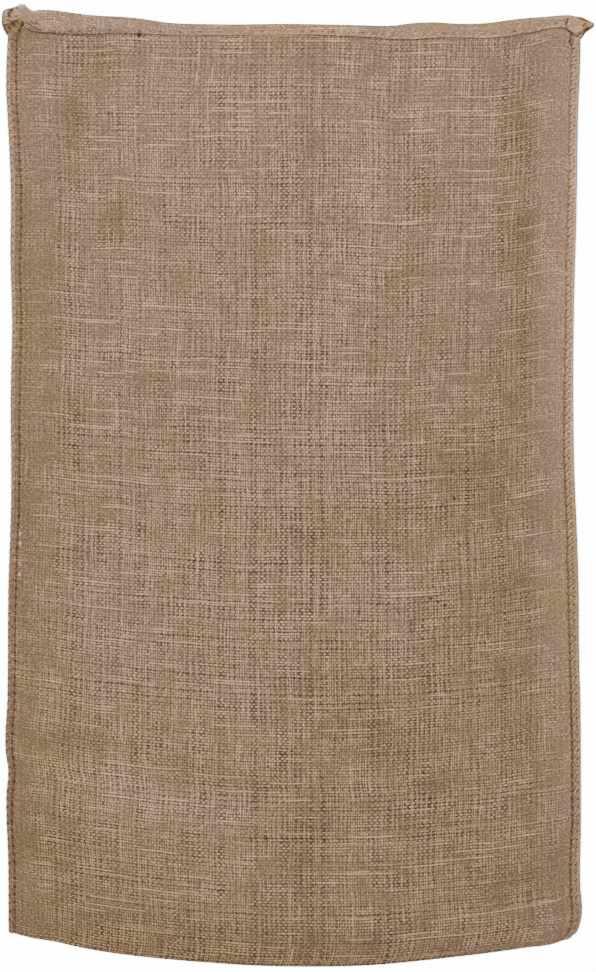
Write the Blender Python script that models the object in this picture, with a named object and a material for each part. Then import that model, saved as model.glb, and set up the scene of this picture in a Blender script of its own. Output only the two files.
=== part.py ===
"""A jute sack lying flat, mouth towards +Y, on its back layer.

One length of hessian is folded across the bottom, hemmed round the mouth and sewn up both
sides, so the whole sack is one piece of cloth: a flattened bag, open at the mouth, with a
thick sewn band down each side and an ear of bunched cloth at each mouth corner.
Tables are in millimetres; the mesh is in metres with +Z up.
"""

import bmesh
import bpy
from math import exp, pi, sin

MM = 0.001

# Cloth and how it lies
WALL = 1.2  # thickness of the hessian
LOFT = 7.0  # clear height inside, where the layers lie furthest apart
SIDE_RISE = 62.0  # how far from a seam the front takes to rise to its full loft
FOLD_RISE = 56.0  # the same, from the fold across the bottom
EDGE_ROUND = 1.3  # how far the seam bands and the fold are rounded back at their edges

# Side seams: both layers and their turnings, whipped together
SEAM_EDGE = 4.2  # height at the outer edge
SEAM_CROWN = 5.2  # height along the middle of the band
SEAM_GROOVE = 3.4  # height along the line where the stitches pull in
SEAM_INSIDE = 1.9  # height of the inside corner behind the stitches
LEFT_BAND = 10.5
RIGHT_BAND = 8.5

# Fold across the bottom
FOLD_EDGE = 4.0
FOLD_TOP = 5.4
FOLD_INSIDE = 2.4

# Hem: one more turn of cloth on the outside of both layers
HEM_TURN = 1.3
HEM_STEP = 0.09  # share of the hem's height over which its lower edge steps up
HEM_MIDDLE = 0.55

# Grid
LEFT_STEPS = (0.0, 5.2, LEFT_BAND, 25.0)
RIGHT_STEPS = (23.0, RIGHT_BAND, 4.2, 0.0)
MIDDLE_COLUMNS = 15
BAND_COLUMNS = 2  # columns of the grid that lie in a seam band
BODY_STEPS = (0.0, 0.0045, 0.03)
BODY_ROWS = 25
HEM_ROWS = (HEM_STEP, HEM_MIDDLE, 1.0)
NOMINAL_WIDTH = 600.0

# Outline, from corner to corner: x, y
BOTTOM_FOLD = (
    (-305.0, -471.2),
    (-274.6, -478.4),
    (-193.0, -494.4),
    (-133.0, -500.9),
    (-51.7, -506.6),
    (2.0, -507.6),
    (78.0, -505.6),
    (119.3, -502.8),
    (179.5, -496.6),
    (240.8, -488.4),
    (272.4, -482.4),
    (290.0, -475.4),
)
LEFT_SIDE = (
    (-305.0, -471.2),
    (-305.0, -395.0),
    (-307.2, -328.0),
    (-305.4, -300.0),
    (-307.8, -284.0),
    (-306.2, -226.0),
    (-304.2, -16.0),
    (-303.6, 100.0),
    (-301.6, 170.0),
    (-303.6, 254.0),
    (-302.6, 291.0),
    (-305.6, 381.0),
    (-307.6, 417.0),
    (-306.2, 476.5),
)
RIGHT_SIDE = (
    (290.0, -475.4),
    (297.6, -462.0),
    (299.8, -447.0),
    (298.6, -404.0),
    (297.8, -315.0),
    (298.8, -255.0),
    (296.6, -226.0),
    (292.4, -16.0),
    (291.2, 54.0),
    (293.0, 240.0),
    (294.4, 300.0),
    (295.4, 380.0),
    (298.0, 408.0),
    (298.8, 472.6),
)
HEM_LINE = (
    (-306.2, 476.5),
    (-274.6, 479.1),
    (-193.2, 479.1),
    (-169.0, 476.3),
    (-71.8, 475.0),
    (2.0, 475.4),
    (62.3, 473.6),
    (114.0, 470.4),
    (152.1, 472.4),
    (211.2, 472.4),
    (241.8, 477.0),
    (283.0, 482.4),
    (298.8, 472.6),
)
MOUTH_EDGE = (
    (-309.6, 501.4),
    (-303.0, 506.6),
    (-295.7, 507.6),
    (-288.0, 503.4),
    (-274.6, 501.3),
    (-223.9, 496.6),
    (-173.2, 492.8),
    (-133.1, 487.2),
    (-92.9, 486.0),
    (2.0, 486.3),
    (62.3, 485.0),
    (101.4, 485.4),
    (121.4, 488.0),
    (145.7, 488.8),
    (171.1, 487.2),
    (201.7, 488.2),
    (227.0, 491.8),
    (280.9, 495.8),
    (304.0, 492.0),
)
LEFT_EAR = ((-306.2, 476.5), (-310.8, 484.0), (-312.0, 491.0), (-309.6, 501.4))
RIGHT_EAR = ((298.8, 472.6), (304.6, 480.4), (313.8, 487.0), (304.0, 492.0))

# Soft ridges and troughs of the front layer: middle x, y, reach across, reach along, height
FRONT_CREASES = (
    (-215.0, 330.0, 34.0, 150.0, -0.8),
    (-150.0, 250.0, 40.0, 190.0, 0.9),
    (-30.0, 330.0, 30.0, 150.0, -0.6),
    (60.0, 320.0, 46.0, 170.0, 1.2),
    (238.0, 330.0, 24.0, 120.0, -1.0),
    (-140.0, -10.0, 60.0, 150.0, 0.8),
    (20.0, -60.0, 36.0, 190.0, -0.8),
    (178.0, 12.0, 46.0, 36.0, -1.1),
    (-150.0, -262.0, 130.0, 22.0, -0.9),
    (-165.0, -318.0, 120.0, 24.0, 1.1),
    (60.0, -330.0, 40.0, 110.0, -0.7),
    (190.0, -250.0, 50.0, 120.0, 0.8),
)
# Bunched cloth at the mouth corners: middle x, y, reach, height
EARS = ((-299.0, 493.0, 15.0, 6.0), (301.0, 486.0, 11.0, 2.6))


def curve_at(points, share):
    """The point at a share of the way along a smooth curve through the points."""
    lengths = []
    for here, there in zip(points, points[1:]):
        lengths.append(((there[0] - here[0]) ** 2 + (there[1] - here[1]) ** 2) ** 0.5)
    left = min(max(share, 0.0), 1.0) * sum(lengths)
    span = 0
    while span < len(lengths) - 1 and left > lengths[span]:
        left -= lengths[span]
        span += 1
    part = min(left / lengths[span], 1.0)
    before = points[max(span - 1, 0)]
    here = points[span]
    there = points[span + 1]
    after = points[min(span + 2, len(points) - 1)]
    place = []
    for axis in (0, 1):
        a, b, c, d = before[axis], here[axis], there[axis], after[axis]
        place.append(
            b
            + 0.5 * part * (c - a)
            + 0.5 * part**2 * (2 * a - 5 * b + 4 * c - d)
            + 0.5 * part**3 * (3 * b - 3 * c + d - a)
        )
    return place


def patch_at(low, high, left, right, across, up):
    """A point of the sheet spanned by four edge curves."""
    on_low = curve_at(low, across)
    on_high = curve_at(high, across)
    on_left = curve_at(left, up)
    on_right = curve_at(right, up)
    place = []
    for axis in (0, 1):
        between_rows = (1 - up) * on_low[axis] + up * on_high[axis]
        between_sides = (1 - across) * on_left[axis] + across * on_right[axis]
        corners = (1 - up) * ((1 - across) * low[0][axis] + across * low[-1][axis])
        corners += up * ((1 - across) * high[0][axis] + across * high[-1][axis])
        place.append(between_rows + between_sides - corners)
    return place


def column_shares():
    """Shares of the width: close together in the seam bands, even between them."""
    start = LEFT_STEPS[-1]
    end = NOMINAL_WIDTH - RIGHT_STEPS[0]
    middle = [start + (end - start) * k / MIDDLE_COLUMNS for k in range(1, MIDDLE_COLUMNS)]
    places = list(LEFT_STEPS) + middle + [NOMINAL_WIDTH - step for step in RIGHT_STEPS]
    return [place / NOMINAL_WIDTH for place in places]


def row_shares():
    """Shares of the body's height from the fold to the hem line, then the hem's own rows."""
    start = BODY_STEPS[-1]
    rest = [start + (1 - start) * k / BODY_ROWS for k in range(1, BODY_ROWS + 1)]
    return list(BODY_STEPS) + rest, [1 + step for step in HEM_ROWS]


COLUMNS = column_shares()
BODY, HEM = row_shares()
ROWS = BODY + HEM
LAST_COLUMN = len(COLUMNS) - 1
LAST_ROW = len(ROWS) - 1
HEM_ROW = len(BODY) - 1  # the row along the hem line


def plan(column, row):
    """Where a grid point lies, seen from above, in millimetres."""
    across = COLUMNS[column]
    up = ROWS[row]
    if row <= HEM_ROW:
        return patch_at(BOTTOM_FOLD, HEM_LINE, LEFT_SIDE, RIGHT_SIDE, across, up)
    return patch_at(HEM_LINE, MOUTH_EDGE, LEFT_EAR, RIGHT_EAR, across, up - 1)


def eased(distance, reach):
    """Rises from 0 at the edge to 1 at the reach, level at the top."""
    return sin(0.5 * pi * min(max(distance / reach, 0.0), 1.0))


def crease_lift(x, y):
    lift = 0.0
    for middle_x, middle_y, across, along, height in FRONT_CREASES:
        lift += height * exp(-(((x - middle_x) / across) ** 2) - ((y - middle_y) / along) ** 2)
    return lift


def ear_lift(x, y):
    lift = 0.0
    for middle_x, middle_y, reach, height in EARS:
        lift += height * exp(-(((x - middle_x) ** 2 + (y - middle_y) ** 2) / reach**2))
    return lift


def in_band(column):
    return column <= BAND_COLUMNS or column >= LAST_COLUMN - BAND_COLUMNS


def is_inside_edge(column, row):
    """The line round the inside where front and back meet."""
    return column in (BAND_COLUMNS, LAST_COLUMN - BAND_COLUMNS) or row == 1


def back_outer(column, row):
    return 0.0


def back_inner(column, row):
    if is_inside_edge(column, row):
        return FOLD_INSIDE if row == 1 else SEAM_INSIDE
    return WALL + (HEM_TURN if row > HEM_ROW else 0.0)


def front_inner(column, row):
    if is_inside_edge(column, row):
        return back_inner(column, row)
    x, y = plan(column, row)
    side = NOMINAL_WIDTH * min(COLUMNS[column], 1 - COLUMNS[column]) - RIGHT_BAND
    fold = y - plan(column, 1)[1]
    slack = eased(side, SIDE_RISE) * eased(fold, FOLD_RISE)
    mouth = HEM_TURN if row >= HEM_ROW else 0.0  # keeps the mouth clear of the back's hem
    return WALL + slack * (LOFT + crease_lift(x, y) + mouth)


def front_outer(column, row):
    x, y = plan(column, row)
    turn = HEM_TURN if row > HEM_ROW else 0.0
    if in_band(column):
        step = min(column, LAST_COLUMN - column)
        height = (SEAM_EDGE, SEAM_CROWN, SEAM_GROOVE)[step]
    elif row <= 1:
        height = FOLD_EDGE if row == 0 else FOLD_TOP
    else:
        height = max(front_inner(column, row) + WALL, SEAM_GROOVE)
    return height + turn + ear_lift(x, y)


def surface(bm, height, columns, rows):
    """A grid laid over part of the plan at a height, and its vertices by column and row."""
    across = columns[1] - columns[0]
    along = rows[1] - rows[0]
    made = bmesh.ops.create_grid(bm, x_segments=across, y_segments=along, size=0.5)
    placed = {}
    for vert in made["verts"]:
        column = columns[0] + round((vert.co.x + 0.5) * across)
        row = rows[0] + round((vert.co.y + 0.5) * along)
        x, y = plan(column, row)
        vert.co = (x * MM, y * MM, height(column, row) * MM)
        placed[column, row] = vert
    return placed


def border(placed):
    """Points down the left side, across the fold and up the right, each with its inner neighbour."""
    last = LAST_COLUMN
    left = [(placed[0, row], placed[1, row]) for row in range(LAST_ROW, 0, -1)]
    corners = [(placed[0, 0], placed[1, 1]), (placed[last, 0], placed[last - 1, 1])]
    fold = [(placed[column, 0], placed[column, 1]) for column in range(1, last)]
    right = [(placed[last, row], placed[last - 1, row]) for row in range(1, LAST_ROW + 1)]
    return left + corners[:1] + fold + corners[1:] + right


def edges_between(chain):
    edges = []
    for here, there in zip(chain, chain[1:]):
        edges.append(next(edge for edge in here.link_edges if edge.other_vert(here) is there))
    return edges


def round_back(pairs):
    """Draws each border point in towards its neighbour, which rounds the edge over."""
    pulls = [(inner.co.xy - edge.co.xy).normalized() * EDGE_ROUND * MM for edge, inner in pairs]
    for (edge, _), pull in zip(pairs, pulls):
        edge.co.xy += pull


def close_sides(bm, front, back):
    """Walls round the seams and the fold, rounded: returns the chain along their middle."""
    front_pairs = border(front)
    back_pairs = border(back)
    front_chain = [edge for edge, _ in front_pairs]
    back_chain = [edge for edge, _ in back_pairs]
    bmesh.ops.bridge_loops(bm, edges=edges_between(front_chain) + edges_between(back_chain))
    middle = []
    for upper, lower in zip(front_chain, back_chain):
        rung = edges_between([upper, lower])[0]
        middle.append(bmesh.utils.edge_split(rung, upper, 0.5)[1])
    for here, there in zip(middle, middle[1:]):
        wall = next(face for face in here.link_faces if face in there.link_faces)
        bmesh.utils.face_split(wall, here, there)
    round_back(front_pairs)
    round_back(back_pairs)
    return middle


def close_mouth(bm, outer, inner, columns):
    """The cut edge of one layer at the mouth, between the two seams."""
    for column in range(columns[0], columns[1]):
        bm.faces.new(
            (
                outer[column, LAST_ROW],
                outer[column + 1, LAST_ROW],
                inner[column + 1, LAST_ROW],
                inner[column, LAST_ROW],
            )
        )


def close_seam_end(bm, front, back, inner, middle_end, edge, step):
    """The end of a seam band at the mouth: a fan round the inside corner."""
    corner = edge + step * BAND_COLUMNS
    rim = [front[corner - step * k, LAST_ROW] for k in range(BAND_COLUMNS + 1)]
    rim += [middle_end]
    rim += [back[edge + step * k, LAST_ROW] for k in range(BAND_COLUMNS + 1)]
    apex = inner[corner, LAST_ROW]
    for here, there in zip(rim, rim[1:]):
        bm.faces.new((apex, here, there))


def sack_mesh():
    bm = bmesh.new()
    inside = (BAND_COLUMNS, LAST_COLUMN - BAND_COLUMNS)
    front = surface(bm, front_outer, (0, LAST_COLUMN), (0, LAST_ROW))
    back = surface(bm, back_outer, (0, LAST_COLUMN), (0, LAST_ROW))
    lining_front = surface(bm, front_inner, inside, (1, LAST_ROW))
    lining_back = surface(bm, back_inner, inside, (1, LAST_ROW))
    middle = close_sides(bm, front, back)
    close_mouth(bm, front, lining_front, inside)
    close_mouth(bm, back, lining_back, inside)
    close_seam_end(bm, front, back, lining_front, middle[0], 0, 1)
    close_seam_end(bm, front, back, lining_front, middle[-1], LAST_COLUMN, -1)
    bmesh.ops.remove_doubles(bm, verts=bm.verts[:], dist=0.00001)
    bmesh.ops.recalc_face_normals(bm, faces=bm.faces[:])
    mesh = bpy.data.meshes.new("sack_cloth")
    bm.to_mesh(mesh)
    bm.free()
    return mesh


def hessian():
    material = bpy.data.materials.new("jute_hessian")
    material.use_nodes = True
    shader = material.node_tree.nodes["Principled BSDF"]
    shader.inputs["Base Color"].default_value = (0.34, 0.23, 0.155, 1.0)
    shader.inputs["Roughness"].default_value = 0.95
    shader.inputs["Metallic"].default_value = 0.0
    return material


def main():
    for old in list(bpy.data.objects):
        bpy.data.objects.remove(old, do_unlink=True)
    sack = bpy.data.objects.new("sack_cloth", sack_mesh())
    bpy.context.collection.objects.link(sack)
    sack.data.materials.append(hessian())
    print("sack_cloth:", len(sack.data.polygons), "faces")


main()
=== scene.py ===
# %% [markdown]
# # A jute sack, lying flat
#
# The sack is one length of coarse hessian. It is folded across the bottom, its two side edges
# are turned in and whipped together with twine, and its mouth is hemmed outwards. It lies on its
# back layer with the mouth at the top, pressed nearly flat from storage.
#
# The lesson goes from the large to the small. First come the outline and how the cloth lies,
# with its folds, seams, hem and bunched corners. Then the cloth gets its stains, its weave and
# the marks of the stitches, and last the twine is sewn in.

from math import cos, exp, pi, radians, sin

import bmesh
import bpy
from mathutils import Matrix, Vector, noise
from mathutils.bvhtree import BVHTree


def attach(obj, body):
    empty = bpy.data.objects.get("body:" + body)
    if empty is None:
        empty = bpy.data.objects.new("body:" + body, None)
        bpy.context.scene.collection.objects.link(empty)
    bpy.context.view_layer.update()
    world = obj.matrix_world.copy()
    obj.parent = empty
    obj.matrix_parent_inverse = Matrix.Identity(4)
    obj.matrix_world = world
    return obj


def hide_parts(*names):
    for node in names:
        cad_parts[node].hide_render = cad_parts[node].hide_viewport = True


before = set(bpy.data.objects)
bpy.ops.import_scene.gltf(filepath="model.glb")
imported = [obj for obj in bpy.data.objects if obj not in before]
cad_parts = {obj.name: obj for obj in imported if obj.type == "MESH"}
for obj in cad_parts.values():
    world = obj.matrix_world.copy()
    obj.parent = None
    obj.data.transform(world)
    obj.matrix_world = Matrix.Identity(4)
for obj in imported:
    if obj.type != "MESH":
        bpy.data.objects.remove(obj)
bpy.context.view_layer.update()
MM = 0.001

# %% [markdown]
# ## Where the viewer stands
#
# A flat thing shows its outline truly only from straight above, so the camera looks down from
# far enough off that nothing leans. The focal length follows from that distance and from the
# length of floor that has to fill the long side of the frame.

# %% Camera straight above
FLOOR_IN_VIEW = 1.0264  # metres of floor along the long side of the frame
CAMERA_HEIGHT = 3.2
CLOTH_HEIGHT = 0.008  # of the cloth's upper side, where the scale has to be right
MIDDLE_OF_VIEW = -0.0008  # a hair nearer the fold than the middle of the sack
SENSOR = 36.0

camera = bpy.data.objects.new("camera", bpy.data.cameras.new("camera"))
bpy.context.scene.collection.objects.link(camera)
bpy.context.scene.camera = camera
camera.location = (0.0, MIDDLE_OF_VIEW, CAMERA_HEIGHT)
camera.data.sensor_width = SENSOR
camera.data.lens = SENSOR * (CAMERA_HEIGHT - CLOTH_HEIGHT) / FLOOR_IN_VIEW
print("lens:", round(camera.data.lens, 1), "mm")

# %% [markdown]
# ## Small helpers for materials
#
# A material is a graph of nodes. Written out in full it is long to read, so a bench object
# keeps the graph and makes a node, sets its values and wires its inputs in one call. An input
# is given by name or by number, and its value is a number, a colour or another node's output.


# %% A bench for wiring nodes
class Bench:
    def __init__(self, tree):
        self.tree = tree

    def wire(self, socket, value):
        if isinstance(value, bpy.types.NodeSocket):
            self.tree.links.new(value, socket)
        else:
            socket.default_value = value

    def node(self, kind, inputs=None, **settings):
        made = self.tree.nodes.new("ShaderNode" + kind)
        for name, value in settings.items():
            setattr(made, name, value)
        for name, value in (inputs or {}).items():
            self.wire(made.inputs[name], value)
        return made

    def calc(self, operation, *values):
        return self.node("Math", dict(enumerate(values)), operation=operation).outputs[0]

    def place(self, x, y, z=0.0):
        return self.node("CombineXYZ", {"X": x, "Y": y, "Z": z}).outputs[0]

    def noise(self, vector, scale=1.0, detail=2.0, roughness=0.5):
        inputs = {"Vector": vector, "Scale": scale, "Detail": detail, "Roughness": roughness}
        return self.node("TexNoise", inputs, noise_dimensions="3D")

    def chance(self, value):
        return self.node("TexWhiteNoise", {"W": value}, noise_dimensions="1D").outputs["Value"]

    def span(self, value, low, high, to_low=0.0, to_high=1.0, kind="LINEAR"):
        inputs = {"Value": value, "From Min": low, "From Max": high}
        inputs.update({"To Min": to_low, "To Max": to_high})
        made = self.node("MapRange", inputs, interpolation_type=kind, clamp=True)
        return made.outputs["Result"]

    def mix(self, share, first, second, blend="MIX"):
        made = self.node("Mix", data_type="RGBA", blend_type=blend)
        for number, value in ((0, share), (6, first), (7, second)):
            self.wire(made.inputs[number], value)
        return made.outputs[2]


def new_material(name):
    """A material with a Principled shader, and the bench that its nodes are wired on."""
    material = bpy.data.materials.new(name)
    material.use_nodes = True
    return material, Bench(material.node_tree), material.node_tree.nodes["Principled BSDF"]


def new_group(name, inputs, outputs):
    """A shader node group with named inputs and outputs, and the bench inside it."""
    group = bpy.data.node_groups.new(name, "ShaderNodeTree")
    for direction, sockets in (("INPUT", inputs), ("OUTPUT", outputs)):
        for socket, kind in sockets:
            group.interface.new_socket(socket, in_out=direction, socket_type="NodeSocket" + kind)
    given = group.nodes.new("NodeGroupInput").outputs
    wanted = group.nodes.new("NodeGroupOutput").inputs
    return group, Bench(group), given, wanted


# %% [markdown]
# ## Floor and light
#
# The floor is a plain white sheet. Seen directly it glows a little, which keeps the background
# clean, but the glow is only for the eye: the cloth is lit by lamps alone. It fades in the last
# millimetre or two beside the cloth, where a floor is always in shade. One broad soft lamp
# stands beyond the mouth of the sack, so that yarns and folds show by their shaded sides, and a
# weaker one stands opposite.

# %% Floor
floor_mesh = bmesh.new()
bmesh.ops.create_grid(floor_mesh, x_segments=1, y_segments=1, size=6.0)
floor_data = bpy.data.meshes.new("floor")
floor_mesh.to_mesh(floor_data)
floor_mesh.free()
white_floor = bpy.data.objects.new("floor", floor_data)
bpy.context.scene.collection.objects.link(white_floor)

floor_paint, bench, shader = new_material("white_floor")
shader.inputs["Base Color"].default_value = (0.45, 0.45, 0.45, 1.0)
shader.inputs["Roughness"].default_value = 0.9
shader.inputs["Specular IOR Level"].default_value = 0.0
seen = bench.node("LightPath").outputs["Is Camera Ray"]
open_sky = bench.node("AmbientOcclusion", {"Distance": 0.0022}, samples=6).outputs["AO"]
touching = bench.calc("POWER", bench.span(open_sky, 0.5, 0.97), 3.0)
glow = bench.mix(touching, (1.0, 0.92, 0.84, 1), (1, 1, 1, 1))
glow = bench.mix(touching, (0.011, 0.008, 0.006, 1), glow)
bench.wire(shader.inputs["Emission Color"], bench.mix(seen, (0, 0, 0, 1), glow))
shader.inputs["Emission Strength"].default_value = 14.0
floor_data.materials.append(floor_paint)

# %% Lamps and sky
LAMPS = (  # name, place, size, power
    ("key_lamp", (-0.2, 2.0, 2.1), 1.3, 56.0),
    ("fill_lamp", (1.3, -1.5, 2.2), 2.4, 16.0),
)
for name, place, size, power in LAMPS:
    lamp = bpy.data.objects.new(name, bpy.data.lights.new(name, "AREA"))
    lamp.data.size = size
    lamp.data.energy = power
    lamp.location = place
    lamp.rotation_euler = (-Vector(place)).to_track_quat("-Z", "Y").to_euler()
    bpy.context.scene.collection.objects.link(lamp)

sky = bpy.data.worlds.new("sky")
sky.use_nodes = True
sky.node_tree.nodes["Background"].inputs["Color"].default_value = (1.0, 0.99, 0.97, 1.0)
sky.node_tree.nodes["Background"].inputs["Strength"].default_value = 0.35
bpy.context.scene.world = sky

# %% [markdown]
# ## The outline of the sack
#
# The outline is the one thing that no fold may change, so it comes first, as five long curves
# in millimetres from corner to corner, and a short one at each end of the hem. The bottom bows
# downwards in the middle, both sides waver a little, and the mouth is higher at its two
# corners. Between these curves any place on the sack has a share across and a share up, and a
# Coons patch turns the two shares into a point: it blends the left and right curves, adds the
# blend of the low and high curves, and takes away what was counted twice.

# %% Outline curves
BOTTOM_FOLD = (
    (-306.6, -473.2),
    (-300.0, -475.6),
    (-284.6, -478.8),
    (-261.4, -482.2),
    (-219.1, -491.2),
    (-176.9, -497.4),
    (-134.6, -501.8),
    (-92.4, -505.2),
    (-50.2, -508.0),
    (-7.9, -509.2),
    (34.3, -509.2),
    (76.6, -507.8),
    (118.8, -504.2),
    (161.0, -499.6),
    (203.3, -494.6),
    (245.5, -488.8),
    (271.0, -486.0),
    (281.0, -484.4),
    (286.0, -482.4),
    (290.4, -478.6),
)
LEFT_SIDE = (
    (-306.6, -473.2),
    (-306.2, -395.0),
    (-308.0, -328.0),
    (-306.2, -300.0),
    (-308.6, -284.0),
    (-307.0, -226.0),
    (-306.0, -110.0),
    (-303.2, -16.0),
    (-303.6, 100.0),
    (-302.2, 170.0),
    (-304.0, 254.0),
    (-303.4, 291.0),
    (-306.4, 381.0),
    (-308.4, 417.0),
    (-307.0, 476.5),
)
RIGHT_SIDE = (
    (290.4, -478.6),
    (294.6, -472.6),
    (297.6, -465.6),
    (299.8, -457.0),
    (300.4, -446.0),
    (298.8, -428.0),
    (299.2, -364.0),
    (299.2, -300.0),
    (298.8, -237.0),
    (297.2, -174.0),
    (296.8, -111.0),
    (294.8, -47.0),
    (292.2, 16.0),
    (291.2, 79.0),
    (291.2, 143.0),
    (292.2, 206.0),
    (294.0, 269.0),
    (295.2, 333.0),
    (296.2, 396.0),
    (298.2, 440.0),
    (298.8, 472.6),
)
HEM_LINE = (
    (-307.0, 476.5),
    (-274.6, 478.4),
    (-250.0, 476.6),
    (-212.0, 476.2),
    (-190.0, 477.4),
    (-169.0, 476.3),
    (-71.8, 475.0),
    (2.0, 475.4),
    (62.3, 473.6),
    (114.0, 470.4),
    (152.1, 472.4),
    (211.2, 472.4),
    (241.8, 477.0),
    (283.0, 482.4),
    (298.8, 472.6),
)
MOUTH_EDGE = (
    (-311.4, 500.4),
    (-309.4, 502.2),
    (-305.6, 503.8),
    (-301.0, 505.2),
    (-297.0, 506.2),
    (-293.4, 508.2),
    (-290.0, 508.0),
    (-287.4, 505.8),
    (-285.6, 502.0),
    (-281.0, 501.2),
    (-274.6, 502.0),
    (-261.4, 502.0),
    (-245.0, 499.8),
    (-223.9, 497.0),
    (-173.2, 493.6),
    (-133.1, 488.0),
    (-92.9, 486.8),
    (2.0, 487.0),
    (62.3, 485.8),
    (101.4, 485.4),
    (121.4, 488.0),
    (145.7, 488.8),
    (171.1, 487.2),
    (201.7, 488.2),
    (227.0, 491.8),
    (262.0, 495.0),
    (280.9, 496.8),
    (287.0, 496.9),
    (293.6, 495.7),
    (298.0, 494.8),
    (304.0, 492.6),
)
LEFT_EAR = ((-307.0, 476.5), (-311.2, 484.0), (-312.6, 491.0), (-311.4, 500.4))
RIGHT_EAR = ((298.8, 472.6), (304.6, 480.4), (312.8, 486.8), (304.0, 492.6))

WIDTH = 600.0
BODY_LENGTH = 966.0  # from the fold to the hem line, between the shorter sides and the middle
HEM_STITCH = 10.4  # from one stitch of the hem to the next


# %% Points on the curves and between them
def shifted(points, up):
    return [(x, y + up) for x, y in points]


def curve_at(points, share):
    """The point at a share of the way along a smooth curve through the points."""
    steps = [Vector(b) - Vector(a) for a, b in zip(points, points[1:])]
    left = min(max(share, 0.0), 1.0) * sum(step.length for step in steps)
    span = 0
    while span < len(steps) - 1 and left > steps[span].length:
        left -= steps[span].length
        span += 1
    length = steps[span].length
    headings = []
    for corner in (span, span + 1):
        before = steps[max(corner - 1, 0)]
        after = steps[min(corner, len(steps) - 1)]
        heading = before.normalized() * after.length + after.normalized() * before.length
        headings.append(heading / (before.length + after.length))
    part = min(left / length, 1.0)
    whole = part * part * (3 - 2 * part)
    start_pull = part * (1 - part) ** 2 * length
    end_pull = -part * part * (1 - part) * length
    point = Vector(points[span]) + steps[span] * whole
    return point + headings[0] * start_pull + headings[1] * end_pull


class Patch:
    """A sheet spanned by four curves. It keeps what it has worked out, as the grid asks again."""

    def __init__(self, low, high, left, right):
        self.curves = {"low": low, "high": high, "left": left, "right": right}
        self.known = {}

    def on(self, curve, share):
        key = (curve, round(share, 6))
        if key not in self.known:
            self.known[key] = curve_at(self.curves[curve], share)
        return self.known[key]

    def at(self, across, up):
        low, high = self.on("low", across), self.on("high", across)
        left, right = self.on("left", up), self.on("right", up)
        ends = [Vector(self.curves[name][end]) for name in ("low", "high") for end in (0, -1)]
        corners = (1 - up) * ((1 - across) * ends[0] + across * ends[1])
        corners += up * ((1 - across) * ends[2] + across * ends[3])
        return (1 - up) * low + up * high + (1 - across) * left + across * right - corners


# %% [markdown]
# ## How the cloth lies
#
# All the folds are worked out for the middle of the cloth's thickness, and a Solidify modifier
# later gives it both faces. The front layer is pulled down along both seams and at the bottom
# fold, and lies slack between them, a few millimetres clear of the back. On top of that come
# the main creases, placed one by one as soft ridges and troughs, and a little unevenness.

# %% Heights of the two layers
THICK = 1.1  # hessian, in millimetres
STITCH_PITCH = 8.66  # one whip stitch to the next, along both sides
FIRST_STITCH = 6.0  # above the bottom fold
CUT_WIDTH = 606.0  # of the cloth, with both turned-in edges
BACK = 0.55  # middle of the back layer above the floor
TURN = 0.6  # radius of a sharp turn, measured to the middle of the cloth
LOFT = 6.0  # of the slack front above the grooves
SIDE_RISE = 62.0  # from a groove to the full loft
FOLD_RISE = 56.0  # from the bottom fold to the full loft
SEAM_CROWN = 4.65  # top of the puffed band
SEAM_EDGE = 4.2  # where the cloth turns in
SEAM_GROOVE = 2.85  # where the stitches bite
FOLD_HEIGHT = 4.85  # top of the bottom fold
HEM_LIFT = 1.15  # one turn of cloth more under the mouth
BUNCHING = 1.9  # how much the band puffs up where it meets the hem
BUNCHED_FROM = 0.965  # share of the way up
BANDS = {  # share of the way up, width of the stitched band
    "left": ((0.0, 6.8), (0.07, 6.2), (0.12, 5.4), (0.2, 6.6), (0.3, 6.8), (0.42, 7.7), (0.52, 8.3),
             (0.6, 9.0), (0.72, 9.3), (0.8, 10.6), (0.88, 9.6), (0.95, 10.2), (1.0, 9.2)),
    "right": ((0.0, 10.6), (0.06, 10.8), (0.18, 9.0), (0.27, 10.2), (0.4, 11.6), (0.5, 11.6),
              (0.6, 10.4), (0.7, 9.2), (0.79, 10.6), (0.86, 9.6), (0.95, 10.2), (1.0, 9.8)),
}
BAND_WANDER = 0.9  # millimetres wider or narrower than the table says
PULL = {  # share of the way up, how tightly the stitches bite
    "left": ((0.0, 0.75), (0.2, 1.0), (0.5, 0.9), (0.65, 0.52), (0.85, 0.68), (1.0, 0.8)),
    "right": ((0.0, 0.6), (0.1, 0.9), (0.22, 1.0), (0.35, 0.7), (0.6, 0.75), (0.75, 0.5), (1.0, 0.5)),
}

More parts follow.
